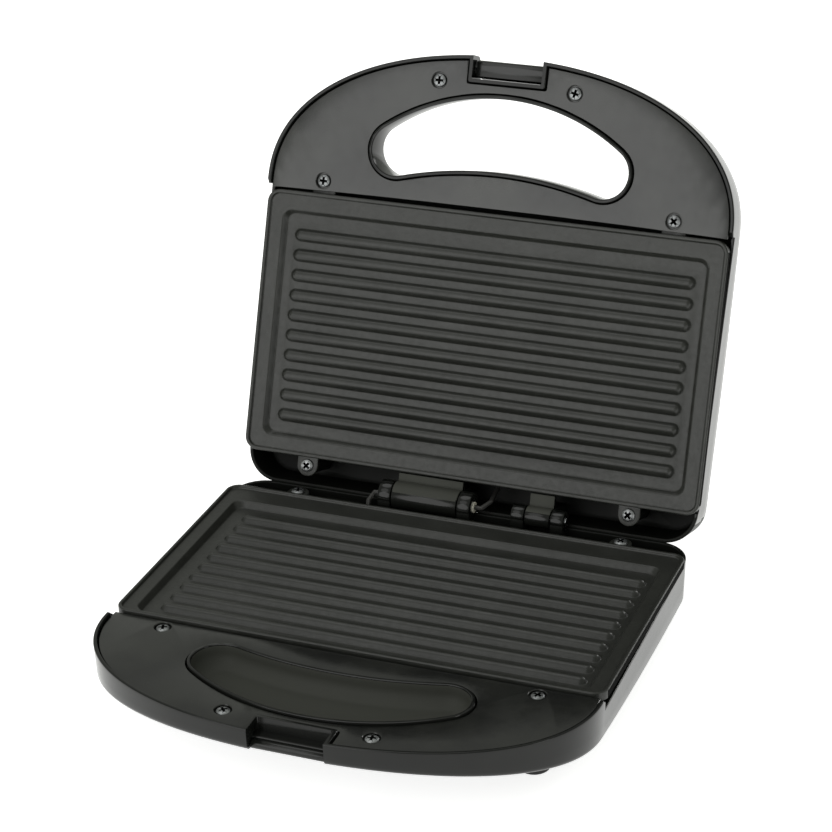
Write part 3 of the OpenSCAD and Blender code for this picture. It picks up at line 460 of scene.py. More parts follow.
opening = {"halfLength": 62.4, "frontApex": 184.6, "rearMiddle": 147.7, "endRadius": 13.8,
           "endBelow": 6.5, "coverGap": 0.6, "rimFlare": 3.6, "recessDepth": 8.5,
           "floor": 2.0, "recessFillet": 6.2}
endX = opening["halfLength"] - opening["endRadius"]
endV = opening["rearMiddle"] - opening["endBelow"] + opening["endRadius"]


def openingLoop(inset):
    o = opening
    r = o["endRadius"] - inset
    front = endV - o["frontApex"] + inset
    rear = endV - o["rearMiddle"] - inset
    big = (r * r - endX * endX - front * front) / (2 * front + 2 * r)
    low = (r * r - endX * endX - rear * rear) / (2 * rear - 2 * r)
    bigV, lowV = o["frontApex"] - inset - big, o["rearMiddle"] + inset - low
    a = math.atan2(endV - bigV, endX)
    b = math.atan2(lowV - endV, -endX)
    points = []
    for i in range(14):
        t = mix(math.pi / 2, b + math.pi, i / 14)
        points.append((low * math.cos(t), lowV + low * math.sin(t)))
    for i in range(22):
        t = mix(b, a, i / 22)
        points.append((endX + r * math.cos(t), endV + r * math.sin(t)))
    for i in range(25):
        t = mix(a, math.pi / 2, i / 24)
        points.append((big * math.cos(t), bigV + big * math.sin(t)))
    return [(x, -v) for x, v in points + [(-x, v) for x, v in reversed(points[1:-1])]]


def openingRing(inset, heightOf):
    # heightOf is a height, or a function of the point at the opening's own edge
    edge = openingLoop(opening["coverGap"] + shell["lipWidth"])
    return [(x, y, heightOf(ex, -ey) if callable(heightOf) else heightOf)
            for (x, y), (ex, ey) in zip(openingLoop(inset), edge)]


def openingCollar():
    # solid block that becomes the wall around the finger opening
    top = shell["lipHeight"] * 0.75
    gap = opening["coverGap"]
    return ringLoft("openingCollar", [
        openingRing(gap + 0.45, top), openingRing(gap + 0.13, top - 0.13), openingRing(gap, top - 0.45),
        openingRing(gap, lambda x, v: -(skinAt(x, v) - 7.5)),
        openingRing(-4.6, lambda x, v: -(skinAt(x, v) - 2.6)),
        openingRing(-5.0, lambda x, v: -(skinAt(x, v) - 1.2))])


def flareRings(start):
    # the rounded outer rim of the opening; start is the height where it may begin
    r, edge = opening["rimFlare"], opening["coverGap"] + shell["lipWidth"]
    rings = []
    steps = 8

    def point(x, v, x0, v0, k):
        depth = skinAt(x0, v0)
        a0 = math.asin(min(max((start - (depth - r)) / r, 0), 1))
        a = mix(a0, math.radians(84), k / steps)
        return edge - r * (1 - math.cos(a)), -(depth - r + r * math.sin(a))

    base = openingLoop(edge)
    loops = {}
    for k in range(steps + 1):
        ring = []
        for i, (ex, ey) in enumerate(base):
            inset, height = point(ex, -ey, ex, -ey, k)
            key = round(inset, 2)
            if key not in loops:
                loops[key] = openingLoop(key)
            x, y = loops[key][i]
            # follow the skin where the rim has moved outwards
            height += (skinAt(ex, -ey) - skinAt(x, -y)) * (k / steps)
            ring.append((x, y, height))
        rings.append(ring)
    lastInset = edge - r * (1 - math.cos(math.radians(84)))
    last = openingLoop(lastInset - 2.4)
    rings.append([(x, y, -(skinAt(x, -y) + 0.9)) for x, y in last])
    rings.append([(x, y, -(skinAt(x, -y) + 4)) for x, y in last])
    return rings


def rimCutter(low):
    # opens the collar from above, leaving its top edge rounded
    edge = opening["coverGap"] + shell["lipWidth"]
    top = shell["lipHeight"] * 0.75
    return [openingRing(edge - 0.9, top + 1.5), openingRing(edge - 0.55, top + 0.05),
            openingRing(edge - 0.4, top - 0.02), openingRing(edge - 0.12, top - 0.16), openingRing(edge, top - 0.5)] + low


def throughCutter():
    return ringLoft("throughCutter", rimCutter(flareRings(0)))


def recessCutter():
    edge = opening["coverGap"] + shell["lipWidth"]
    floor, r = -opening["recessDepth"], opening["recessFillet"]
    low = [openingRing(edge, floor + r)]
    for share in (0.125, 0.25, 0.375, 0.5, 0.625, 0.75, 0.875, 1):
        a = math.radians(90 * share)
        low.append(openingRing(edge + r * (1 - math.cos(a)), floor + r * (1 - math.sin(a))))
    return ringLoft("recessCutter", rimCutter(low))


def undersideCutter():
    start = opening["recessDepth"] + opening["floor"]
    edge = opening["coverGap"] + shell["lipWidth"]
    rings = flareRings(start + 0.1)
    cap = [(x, y, -start) for x, y, _ in rings[0]]
    return ringLoft("undersideCutter", [cap] + rings)


# Notch for the latch

notch = {"halfWidth": 16.3, "rear": 190.2, "lipWidth": 1.7, "floorDrop": 4.8, "frontWall": 195.2,
         "barDrop": 7.4, "barRadius": 2.0, "cornerRound": 0.8}


def boxLoop(x0, x1, v0, v1, cornerRound=0.0, steps=4):
    loop = []
    for cx, cv, turn in ((x1, v0, 0), (x1, v1, 1), (x0, v1, 2), (x0, v0, 3)):
        if not cornerRound:
            loop.append((cx, -cv))
            continue
        mx = cx - cornerRound if cx == x1 else cx + cornerRound
        mv = cv + cornerRound if cv == v0 else cv - cornerRound
        for i in range(steps + 1):
            a = math.radians(-90 + 90 * turn + 90 * i / steps)
            loop.append((mx + cornerRound * math.cos(a), -(mv + cornerRound * math.sin(a))))
    return loop


def notchWalls():
    n = notch
    wide, deep = n["halfWidth"] + n["lipWidth"], n["rear"] - n["lipWidth"]
    block = flatPlate("notchWalls", [boxLoop(-wide, wide, deep, frontReach + 4, 1.2)], -12, shell["lipHeight"], 0.35, 3)
    hollow = flatPlate("notchHollow", [boxLoop(-n["halfWidth"], n["halfWidth"], n["rear"], frontReach + 8, n["cornerRound"])],
                       -14, shell["lipHeight"] + 3)
    combine(block, hollow, "DIFFERENCE")
    stations = shellStations()
    limits = outerRings(stations, 0.6)
    limits += [mirrorStations(stations, lambda t: wallRing(t, 0.9 + shell["wallLean"] * max(e, 0), -e))
               for e in (1.5, 0, -shell["lipHeight"] - 1)]
    return combine(block, ringLoft("notchLimits", limits), "INTERSECT")


def openNotch(piece):
    n = notch
    cutter = flatPlate("notchCutter", [boxLoop(-n["halfWidth"], n["halfWidth"], n["rear"], frontReach + 8, n["cornerRound"])],
                       -40, 8)
    return combine(piece, cutter, "DIFFERENCE")


print("stage: shapes of the halves set out")


# Materials. Patterns read Object coordinates in metres, so a scale of 1000 repeats every millimetre.

def placedPattern(material, scale=(1, 1, 1), rotation=(0, 0, 0), location=(0, 0, 0)):
    place = addNode(material, "ShaderNodeTexCoord")
    return addNode(material, "ShaderNodeMapping",
                   {"Location": location, "Rotation": rotation, "Scale": scale}, {"Vector": (place, "Object")})


def noiseField(material, place, scale, detail=3.0, roughness=0.5):
    return addNode(material, "ShaderNodeTexNoise", {"Scale": scale, "Detail": detail, "Roughness": roughness},
                   {"Vector": (place, "Vector")})


def spread(material, source, output, low, high, fromLow=0.3, fromHigh=0.7):
    return addNode(material, "ShaderNodeMapRange",
                   {"From Min": fromLow, "From Max": fromHigh, "To Min": low, "To Max": high},
                   {"Value": (source, output)})


def bumpFrom(material, source, output, strength, distance, before=None):
    links = {"Height": (source, output)}
    if before:
        links["Normal"] = (before, "Normal")
    return addNode(material, "ShaderNodeBump", {"Strength": strength, "Distance": distance}, links)


def surface(material, settings, links):
    shader = addNode(material, "ShaderNodeBsdfPrincipled", settings, links)
    addNode(material, "ShaderNodeOutputMaterial", None, {"Surface": (shader, "BSDF")})
    return material


def blendColour(material, mark, first, firstOutput, second):
    return addNode(material, "ShaderNodeMix", {"data_type": "RGBA", 7: linearColour(second)},
                   {0: (mark, "Fac"), 6: (first, firstOutput)})


def blendValue(material, mark, first, firstOutput, second):
    return addNode(material, "ShaderNodeMix", {"data_type": "FLOAT", 3: second}, {0: (mark, "Fac"), 2: (first, firstOutput)})


def mouldedPlastic(name, dark, light, smooth, rough, grain, sway, shine, marks=()):
    # injection-moulded plastic: slow sway of the surface, tiny grain, a little dust in the gloss
    material = newMaterial(name)
    place = placedPattern(material)
    cloud = noiseField(material, place, 34, 4)
    tone = setRamp(addNode(material, "ShaderNodeValToRGB", None, {"Fac": (cloud, "Fac")}),
                   [(0.35, linearColour(dark)), (0.68, linearColour(light))])
    smear = noiseField(material, place, 210, 6, 0.62)
    gloss = spread(material, smear, "Fac", smooth, rough)
    dust = addNode(material, "ShaderNodeTexVoronoi", {"Scale": 900.0, "Randomness": 1.0}, {"Vector": (place, "Vector")})
    speck = spread(material, dust, "Distance", 0.16, 0.0, 0.03, 0.1)
    finish = addNode(material, "ShaderNodeMath", {"operation": "ADD"}, {0: (gloss, "Result"), 1: (speck, "Result")})
    slow = noiseField(material, place, 19, 2)
    fine = noiseField(material, place, 2600, 2)
    wavy = bumpFrom(material, slow, "Fac", sway, 0.002)
    pebbled = bumpFrom(material, fine, "Fac", grain, 0.0001, wavy)
    colour, dullness, links = (tone, "Color"), (finish, "Value"), {}
    for markName, markColour, markRoughness in marks:
        # faces that carry a mark get their own colour and dullness: grip faces are moulded against a grained tool; the
        # inner mark is painted shade, a darker, dull finish on faces that lie in shadow
        mark = addNode(material, "ShaderNodeAttribute", {"attribute_name": markName})
        colour = (blendColour(material, mark, *colour, markColour), 2)
        dullness = (blendValue(material, mark, *dullness, markRoughness), 0)
        # painted shade: inner faces also lose most of their shine, so they stay dark as if in shadow
        if markName == "inner":
            links["Specular IOR Level"] = (spread(material, mark, "Fac", shine, 0.1, 0, 1), "Result")
    links.update({"Base Color": colour, "Roughness": dullness, "Normal": (pebbled, "Normal")})
    return surface(material, {"IOR": 1.5, "Specular IOR Level": shine}, links)


plastics = {
    "housing": {"dark": "#0c0d0c", "light": "#151614", "smooth": 0.1, "rough": 0.17, "grain": 0.05, "sway": 0.09,
                # inner is painted shade: a darker, duller colour for the faces inside the housing and on its rear rim
                "shine": 0.27, "marks": (("grip", "#353631", 0.62), ("inner", "#121311", 0.4))},
    "cover": {"dark": "#0d0e0d", "light": "#21221f", "smooth": 0.14, "rough": 0.27, "grain": 0.1, "sway": 0.16, "shine": 0.52},
    "latch": {"dark": "#0f100f", "light": "#191a18", "smooth": 0.14, "rough": 0.24, "grain": 0.08, "sway": 0.05, "shine": 0.4},
}
# Black ABS with a high gloss: deep black with soft, slightly swaying reflections
housingPlastic = mouldedPlastic("glossyBlackAbs", **plastics["housing"])
# The covers' ABS is a touch greyer and softer in its shine
coverPlastic = mouldedPlastic("satinBlackAbs", **plastics["cover"])
# The latch: tougher acetal with a tight sheen
latchPlastic = mouldedPlastic("blackAcetal", **plastics["latch"])


def nonStickCoating():
    # sprayed non-stick coating: warm charcoal, half matt, with fine lighter and darker grains
    material = newMaterial("nonStickCoating")
    place = placedPattern(material)
    grains = addNode(material, "ShaderNodeTexVoronoi", {"Scale": 2100.0, "Randomness": 1.0}, {"Vector": (place, "Vector")})
    blotch = noiseField(material, place, 46, 5, 0.6)
    base = setRamp(addNode(material, "ShaderNodeValToRGB", None, {"Fac": (blotch, "Fac")}),
                   [(0.3, linearColour("#1e1f1c")), (0.72, linearColour("#282926"))])
    fleck = setRamp(addNode(material, "ShaderNodeValToRGB", None, {"Fac": (grains, "Color")}),
                    [(0.0, grey(0.72)), (0.16, grey(0.93)), (0.84, grey(1.04)), (1.0, grey(1.35))])
    tone = addNode(material, "ShaderNodeMix", {"data_type": "RGBA", "blend_type": "MULTIPLY", 0: 1.0},
                   {6: (base, "Color"), 7: (fleck, "Color")})
    gloss = spread(material, noiseField(material, place, 480, 4), "Fac", 0.3, 0.42)
    orange = noiseField(material, place, 1500, 3)
    fine = bumpFrom(material, orange, "Fac", 0.32, 0.00016)
    slow = bumpFrom(material, noiseField(material, place, 60, 2), "Fac", 0.12, 0.0006, fine)
    # painted shade: the turned-down edge lies in the narrow gap to the housing and is painted near black and dull,
    # standing in for the gap's shadow
    edge = addNode(material, "ShaderNodeAttribute", {"attribute_name": "edge"})
    colour = blendColour(material, edge, tone, 2, "#070706")
    dullness = blendValue(material, edge, gloss, "Result", 0.8)
    shine = spread(material, edge, "Fac", 0.44, 0.04, 0, 1)
    return surface(material, {"IOR": 1.45},
                   {"Base Color": (colour, 2), "Roughness": (dullness, 0), "Specular IOR Level": (shine, "Result"),
                    "Normal": (slow, "Normal")})


coatedPlate = nonStickCoating()


def workedMetal(name, dark, light, smooth, rough, stretch, scale, dent, turned=(0, 0, 0), marks=()):
    # bare or plated metal with fine drawn lines along one direction
    material = newMaterial(name)
    lines = placedPattern(material, stretch, turned)
    plain = placedPattern(material)
    grain = noiseField(material, lines, scale, 5, 0.62)
    stain = noiseField(material, plain, 130, 4)
    tone = setRamp(addNode(material, "ShaderNodeValToRGB", None, {"Fac": (stain, "Fac")}),
                   [(0.32, linearColour(dark)), (0.7, linearColour(light))])
    gloss = spread(material, grain, "Fac", smooth, rough)
    relief = bumpFrom(material, grain, "Fac", dent, 0.00008)
    colour, dullness = (tone, "Color"), (gloss, "Result")
    for markName, markColour, markRoughness in marks:
        mark = addNode(material, "ShaderNodeAttribute", {"attribute_name": markName})
        colour = (blendColour(material, mark, *colour, markColour), 2)
        dullness = (blendValue(material, mark, *dullness, markRoughness), 0)
    return surface(material, {"Metallic": 1.0}, {"Base Color": colour, "Roughness": dullness, "Normal": (relief, "Normal")})


# Zinc-plated screws: cool, bright, lightly tumbled; the cross is painted near black, partly dust in the drive and
# partly painted shade in its recess
screwZinc = workedMetal("zincPlatedSteel", "#767879", "#9b9d9e", 0.34, 0.5, (1, 1, 1), 1600, 0.25,
                        marks=(("cross", "#0c0c0c", 0.7),))
# Ground hinge pins and bush
groundSteel = workedMetal("groundSteel", "#9a9c9e", "#bfc1c3", 0.16, 0.3, (40, 1, 1), 420, 0.3)
# Rolled aluminium sheet with long grain
rolledAluminium = workedMetal("rolledAluminium", "#a9abac", "#cfd0d0", 0.24, 0.42, (1, 26, 1), 260, 0.35)
# The element's tube: steel drawn and browned by heat
heatedSteel = workedMetal("heatTintedSteel", "#5d554d", "#8d8880", 0.32, 0.5, (1, 14, 14), 340, 0.4)


def mattStuff(name, dark, light, scale, rough, grainScale, dent, distance=0.0002, **extra):
    # anything dull: a mottled tone, uneven dullness and a fine grain
    material = newMaterial(name)
    place = placedPattern(material)
    cloud = noiseField(material, place, scale, 5, 0.6)
    tone = setRamp(addNode(material, "ShaderNodeValToRGB", None, {"Fac": (cloud, "Fac")}),
                   [(0.3, linearColour(dark)), (0.72, linearColour(light))])
    gloss = spread(material, cloud, "Fac", rough - 0.08, rough + 0.08)
    grain = noiseField(material, place, grainScale, 3)
    relief = bumpFrom(material, grain, "Fac", dent, distance)
    return surface(material, extra, {"Base Color": (tone, "Color"), "Roughness": (gloss, "Result"),
                                     "Normal": (relief, "Normal")})


# Feet and inlet bush: dull black rubber with a bloom
footRubber = mattStuff("blackRubber", "#0d0d0d", "#1a1a19", 120, 0.72, 1400, 0.4)
# Ceramic beads and fuse body: unglazed, cream
creamCeramic = mattStuff("unglazedCeramic", "#c9c2b2", "#e2ddd0", 240, 0.6, 2200, 0.3)
# Terminal block: milky polyamide
milkyPolyamide = mattStuff("milkyPolyamide", "#cfcdc2", "#e0ded4", 90, 0.42, 900, 0.15, 0.00012,
                           **{"Subsurface Weight": 0.08, "Subsurface Radius": (0.002, 0.0018, 0.0015)})
# Lamp carrier: dark glass-filled plastic with a dry look
filledPlastic = mattStuff("glassFilledPlastic", "#1d1e1f", "#2b2c2d", 160, 0.5, 1700, 0.35)
# Leads: dark grey silicone rubber
leadSilicone = mattStuff("siliconeRubber", "#232221", "#302f2d", 150, 0.48, 900, 0.12)


def braidedSleeve():
    # glass-fibre braid: two crossing sets of strands
    material = newMaterial("glassFibreBraid")
    left = placedPattern(material, (1, 1, 1), (0, 0, math.radians(38)))
    right = placedPattern(material, (1, 1, 1), (0, 0, math.radians(-38)))
    strands = [addNode(material, "ShaderNodeTexWave", {"Scale": 240.0, "Distortion": 0.6, "Detail": 2.0},
                       {"Vector": (place, "Vector")}) for place in (left, right)]
    weave = addNode(material, "ShaderNodeMath", {"operation": "MAXIMUM"},
                    {0: (strands[0], "Fac"), 1: (strands[1], "Fac")})
    tone = setRamp(addNode(material, "ShaderNodeValToRGB", None, {"Fac": (weave, "Value")}),
                   [(0.2, linearColour("#8f8a7c")), (0.8, linearColour("#ddd9cc"))])
    gloss = spread(material, weave, "Value", 0.7, 0.5, 0, 1)
    relief = bumpFrom(material, weave, "Value", 0.6, 0.0003)
    return surface(material, None, {"Base Color": (tone, "Color"), "Roughness": (gloss, "Result"),
                                    "Normal": (relief, "Normal")})


sleeveBraid = braidedSleeve()


def clearStuff(name, dark, light, smooth, rough, dent):
    # glass and lenses: light goes through, with a faint inner haze
    material = newMaterial(name)
    place = placedPattern(material)
    cloud = noiseField(material, place, 320, 3)
    tone = setRamp(addNode(material, "ShaderNodeValToRGB", None, {"Fac": (cloud, "Fac")}),
                   [(0.3, linearColour(dark)), (0.7, linearColour(light))])
    gloss = spread(material, cloud, "Fac", smooth, rough)
    relief = bumpFrom(material, noiseField(material, place, 700, 2), "Fac", dent, 0.0001)
    return surface(material, {"IOR": 1.49, "Transmission Weight": 0.85},
                   {"Base Color": (tone, "Color"), "Roughness": (gloss, "Result"), "Normal": (relief, "Normal")})


redLens = clearStuff("redAcrylic", "#8f0d08", "#c01510", 0.06, 0.14, 0.12)
greenLens = clearStuff("greenAcrylic", "#0c5f22", "#138a34", 0.06, 0.14, 0.12)
lampGlass = clearStuff("lampGlass", "#dcdcd4", "#f4f3ee", 0.02, 0.08, 0.08)

nodeMaterials = {
    "lower_heating_element": heatedSteel, "upper_heating_element": heatedSteel,
    "lower_element_pins": creamCeramic, "upper_element_pins": creamCeramic,
    "lower_reflector": rolledAluminium, "upper_reflector": rolledAluminium,
    "thermostat": groundSteel, "fuse_clip": groundSteel, "hinge_pin": groundSteel,
    "hinge_bush": groundSteel, "latch_pin": groundSteel,
    "lower_reflector_screws": screwZinc, "upper_reflector_screws": screwZinc,
    "terminal_block": milkyPolyamide, "cord_bush": footRubber,
    "base_leads": leadSilicone, "lid_leads": leadSilicone, "lead_sleeve": sleeveBraid,
    "thermal_fuse": creamCeramic, "lamp_carrier": filledPlastic, "indicator_lamps": lampGlass,
    "red_lens": redLens, "green_lens": greenLens,
}
for nodeName, material in nodeMaterials.items():
    node = frame["nodes"][nodeName]
    node.data.materials.clear()
    node.data.materials.append(material)

print("stage: materials made")


# Small shapes of the halves

def acrossRod(name, x0, x1, v, h, radius, soften=0.0, steps=48):
    # a bar from side to side, its ends rounded off
    s = soften
    profile = [(radius - s, x0), (radius - 0.3 * s, x0 + 0.3 * s), (radius, x0 + s),
               (radius, x1 - s), (radius - 0.3 * s, x1 - 0.3 * s), (radius - s, x1)] if s else [(radius, x0), (radius, x1)]
    rod = turnedPiece(name, profile, steps)
    return moveMesh(rod, Matrix.Translation((0, -v, h)) @ Matrix.Rotation(math.radians(90), 4, "Y"))


def halfBox(name, x0, x1, v0, v1, h0, h1, soften=0.0):
    return softBox(name, (x0, -v1, h0), (x1, -v0, h1), soften)


def uprightPost(name, x, v, h0, h1, radius, steps=40):
    return moveMesh(turnedPiece(name, [(radius, h0), (radius, h1)], steps), Matrix.Translation((x, -v, 0)))


hinge = {"pinRadius": 2.0, "bushRadius": 4.0, "wall": 2.6, "webThickness": 3.3, "axisRise": 2.0,
         "runGap": 0.05, "sideGap": 0.5, "clearance": 0.6,
         "shelfThickness": 3.0, "shelfRise": 0.6, "shelfReach": 10.2,
         "lidRight": (31.4, 42.9), "lidLeft": (-31.6, -0.5),
         "baseRight": ((24.9, 30.9), (43.4, 49.4)), "baseLeft": ((-38.1, -32.1), (0.0, 6.0))}


def knuckle(x0, x1, bore, shelf=False):
    # barrel on the hinge line with a web down to the skin
    r, s = bore + hinge["wall"], shell
    web, rise = hinge["webThickness"], hinge["axisRise"]
    piece = acrossRod("knuckle", x0, x1, 0, rise, r, 0.4, 56)
    low = 2 * s["wall"] - s["depthRear"]
    combine(piece, halfBox("web", x0 + 0.02, x1 - 0.02, r - web, r, low, rise, 0.3), "UNION")
    combine(piece, halfBox("foot", x0 + 0.04, x1 - 0.04, 0, r - 0.1, s["wall"] - s["depthRear"], low + s["wall"], 0.3), "UNION")
    back = s["wallLean"] * s["sideDrop"] + 0.2 - s["rearOverhang"]
    combine(piece, halfBox("bridge", x0 + 0.06, x1 - 0.06, back, r - 0.2, -s["sideDrop"] - 0.4, rise - 0.4, 0.35), "UNION")
    if shelf:
        combine(piece, halfBox("shelf", x0 + 0.03, x1 - 0.03, 0, hinge["shelfReach"],
                               hinge["shelfRise"] - hinge["shelfThickness"], hinge["shelfRise"], 0.4), "UNION")
    return combine(piece, acrossRod("bore", x0 - 1, x1 + 1, 0, rise, bore + hinge["runGap"], 0, 56), "DIFFERENCE")


screwPlaces = {"coverRear": (82.5, 137.5), "coverFront": (31.7, 188.0), "lug": (77.0, 6.8), "boss": 4.05,
               "shank": 1.65, "boreDepth": 14.0}


def openHinge(piece, spans):
    # the rear wall opens around the other half's knuckles
    for x0, x1, bore in spans:
        r = bore + hinge["wall"] + hinge["clearance"]
        zone = halfBox("zone", x0 - hinge["sideGap"], x1 + hinge["sideGap"],
                       -shell["rearOverhang"] - 2, r, hinge["axisRise"] - r, 4, 0.3)
        combine(piece, zone, "DIFFERENCE")
    return piece


def lugBosses(piece):
    x, v = screwPlaces["lug"]
    for side in (-1, 1):
        combine(piece, uprightPost("boss", side * x, v, 1.2 - shell["depthRear"], -2.75, screwPlaces["boss"]), "UNION")
        combine(piece, uprightPost("pilot", side * x, v, -screwPlaces["boreDepth"], 2, screwPlaces["shank"]), "DIFFERENCE")
    return piece


# Base housing

base = {"footPlaces": ((81.0, 138.0), (81.0, 13.0)), "postRadius": 7.6, "postBottom": 3.0, "plugRadius": 5.45,
        "plugDepth": 2.75, "inletX": -58.0, "inletDrop": 14.0, "inletPad": 17.0, "inletBore": 5.45,
        "ventWidth": 3.0, "ventLength": 26.0, "ventPitch": 14.0, "ventGap": 19.0, "ventMiddle": 62.0}


def roundSlot(name, x, v, width, length, low, high, steps=8):
    r = width / 2
    loop = []
    for end, turn in ((1, 0), (-1, 180)):
        for i in range(steps + 1):
            a = math.radians(turn + 180 * i / steps)
            loop.append((x + r * math.cos(a), -v + end * (length / 2 - r) + r * math.sin(a)))
    return flatPlate(name, [loop], low, high)


def baseHousing(body):
    b, n, s = base, notch, shell
    combine(body, recessCutter(), "DIFFERENCE")
    combine(body, undersideCutter(), "DIFFERENCE")
    # notch with its floor, front wall and catch bar
    wide = n["halfWidth"]
    combine(body, flatPlate("notchCutter", [boxLoop(-wide, wide, n["rear"], frontReach + 8, n["cornerRound"])],
                            -40, 8), "DIFFERENCE")
    combine(body, notchWalls(), "UNION")
    over = 0.9
    combine(body, halfBox("notchFloor", -wide - over, wide + over, n["rear"] - over, n["frontWall"],
                          -n["floorDrop"] - 1.7, -n["floorDrop"], 0.3), "UNION")
    combine(body, halfBox("notchFront", -wide - over + 0.05, wide + over - 0.05, n["frontWall"] - 1.65, n["frontWall"] - 0.02,
                          0.8 - s["depthFront"], -n["floorDrop"] - 0.05, 0.2), "UNION")
    combine(body, acrossRod("catchBar", 0.4 - wide, wide - 0.4, n["frontWall"] + 0.9, -n["barDrop"], n["barRadius"], 0.3), "UNION")
    for side in (-1, 1):
        for x, v in b["footPlaces"]:
            low = b["postBottom"] - panelZ
            post = turnedPiece("footPost", [(b["postRadius"] - 0.5, low), (b["postRadius"] - 0.12, low + 0.15),
                                            (b["postRadius"], low + 0.5), (b["postRadius"] + 0.1, low + 4.2),
                                            (b["postRadius"] + 0.7, s["wall"] * 0.6 - skinAt(x, v))], 56)
            moveMesh(post, Matrix.Translation((side * x, -v, 0)))
            combine(body, post, "UNION")
            combine(body, uprightPost("plugHole", side * x, v, low - 2, low + b["plugDepth"], b["plugRadius"]), "DIFFERENCE")
    openHinge(body, [(*hinge["lidRight"], hinge["pinRadius"]), (*hinge["lidLeft"], hinge["bushRadius"])])
    for x0, x1 in hinge["baseRight"]:
        combine(body, knuckle(x0, x1, hinge["pinRadius"]), "UNION")
    for x0, x1 in hinge["baseLeft"]:
        combine(body, knuckle(x0, x1, hinge["bushRadius"]), "UNION")
    lugBosses(body)
    half = b["inletPad"] / 2
    combine(body, halfBox("inletPad", b["inletX"] - half, b["inletX"] + half, -0.3 - s["rearOverhang"], 4,
                          -b["inletDrop"] - half, half - b["inletDrop"], 0.8), "UNION")
    bore = turnedPiece("inletBore", [(b["inletBore"], -4), (b["inletBore"], 10)], 48)
    moveMesh(bore, Matrix.Translation((b["inletX"], 4, -b["inletDrop"])) @ Matrix.Rotation(math.radians(90), 4, "X"))
    combine(body, bore, "DIFFERENCE")
    slots = [roundSlot("vent", i * b["ventPitch"], b["ventMiddle"] + side * b["ventGap"], b["ventWidth"], b["ventLength"],
                       -s["depthRear"] - 3, 2 * s["wall"] - s["depthRear"])
             for i in range(-2, 3) for side in (-1, 1)]
    return combine(body, joinPieces(slots, "vents"), "DIFFERENCE")


def lidHousing(body):
    combine(body, throughCutter(), "DIFFERENCE")
    openNotch(body)
    combine(body, notchWalls(), "UNION")
    openHinge(body, [(*span, hinge["pinRadius"]) for span in hinge["baseRight"]])
    openHinge(body, [(*span, hinge["bushRadius"]) for span in hinge["baseLeft"]])
    combine(body, knuckle(*hinge["lidRight"], hinge["pinRadius"], True), "UNION")
    combine(body, knuckle(*hinge["lidLeft"], hinge["bushRadius"], True), "UNION")
    lugBosses(body)
    combine(body, acrossRod("pinBore", -22, 22, latch["pivotV"], -latch["pivotDrop"], latch["pinRadius"] + 0.05), "DIFFERENCE")
    for side in (-1, 1):
        rim = turnedPiece("lensHole", [(5.4, -30), (5.4, -skinAt(12, lamps["v"]) - 0.15), (lamps["lens"] + 0.15, 0.5 - skinAt(12, lamps["v"])),
                                       (lamps["lens"] + 0.15, -8)], 48)
        moveMesh(rim, Matrix.Translation((side * lamps["x"], -lamps["v"], 0)))
        combine(body, rim, "DIFFERENCE")
    return body


lamps = {"x": 12.0, "v": 120.0, "lens": 4.5}
latch = {"pivotV": 195.8, "pivotDrop": 5.2, "barrel": 2.8, "halfWidth": 15.8, "armIn": 2.5, "armOut": 4.7,
         "reach": 21.1, "nib": 2.6, "hookThickness": 2.0, "lip": 1.6, "grooveRadius": 9.0, "grooveDepth": 0.8,
         "pinRadius": 1.2, "swing": 186.0}

baseBody = combine(ringLoft("baseShell", bodyRings(shell["baseRearDrop"])), openingCollar(), "UNION")
lidBody = combine(ringLoft("lidShell", bodyRings(shell["lidRearDrop"])), openingCollar(), "UNION")
baseHousing(baseBody)
lidHousing(lidBody)
def insideHousing(place, normal):
    # the faces that look into the hollow under the plate and the cover, and the rear rim behind the plate; they get
    # painted shade
    v, drop = -place.y, -place.z
    if v < -0.9 and abs(place.x) < 100 and normal.y < 0.8 and drop < skinDepth(0) - 4:
        return True
    if drop < 2.4 or drop > skinAt(place.x, v) - 1.2:
        return False
    if abs(place.x) < notch["halfWidth"] + 1 and v > notch["rear"] - 3:
        return False
    power, straight = shell["noseSquareness"], shell["sideLength"]
    across = abs(place.x) / (shell["halfWidthRear"] - 1.2)
    along = max(v - straight, 0) / (shell["noseLength"] - 1.2)
    return across ** power + along ** power < 1 and v > 1.2 - shell["rearOverhang"]


def inRecess(place, normal):
    return (abs(place.x) < opening["halfLength"] - 1.6 and 139.0 < -place.y < opening["frontApex"] - 1.6
            and -opening["recessDepth"] - 0.5 < place.z < -0.2)


openingEdge = openingLoop(opening["coverGap"] + shell["lipWidth"] - 0.05)


def insideLoop(loop, x, y):
    inside = False
    for (ax, ay), (bx, by) in zip(loop, loop[1:] + loop[:1]):
        if (ay > y) != (by > y) and x < ax + (y - ay) / (by - ay) * (bx - ax):
            inside = not inside
    return inside


markFaces(baseBody, "grip", lambda place, normal: inRecess(place, normal) and insideLoop(openingEdge, place.x, place.y))
markFaces(lidBody, "grip", lambda place, normal: place.z > 0.3 and 2.5 < -place.y < hinge["shelfReach"] + 0.2)
# painted shade: the inside of the housing and its rear rim get a dark, dull finish that stands in for the shadow there
for body in (baseBody, lidBody):
    markFaces(body, "inner", lambda place, normal: insideHousing(place, normal)
              and not insideLoop(openingEdge, place.x, place.y))
finishPiece(baseBody, basePlace, housingPlastic, "base", ("base_shell",), 34)
finishPiece(lidBody, lidPlace, housingPlastic, "lid", ("lid_shell",), 34)
print("stage: both halves of the housing made")


# Handle covers

cover = {"thickness": 2.4, "inset": 2.3, "rearEnds": 132.4, "rearMiddle": 133.6, "notchHalf": 18.6, "notchRear": 187.9,
         "headHole": 3.6, "headDrop": 1.5, "soften": 0.32}


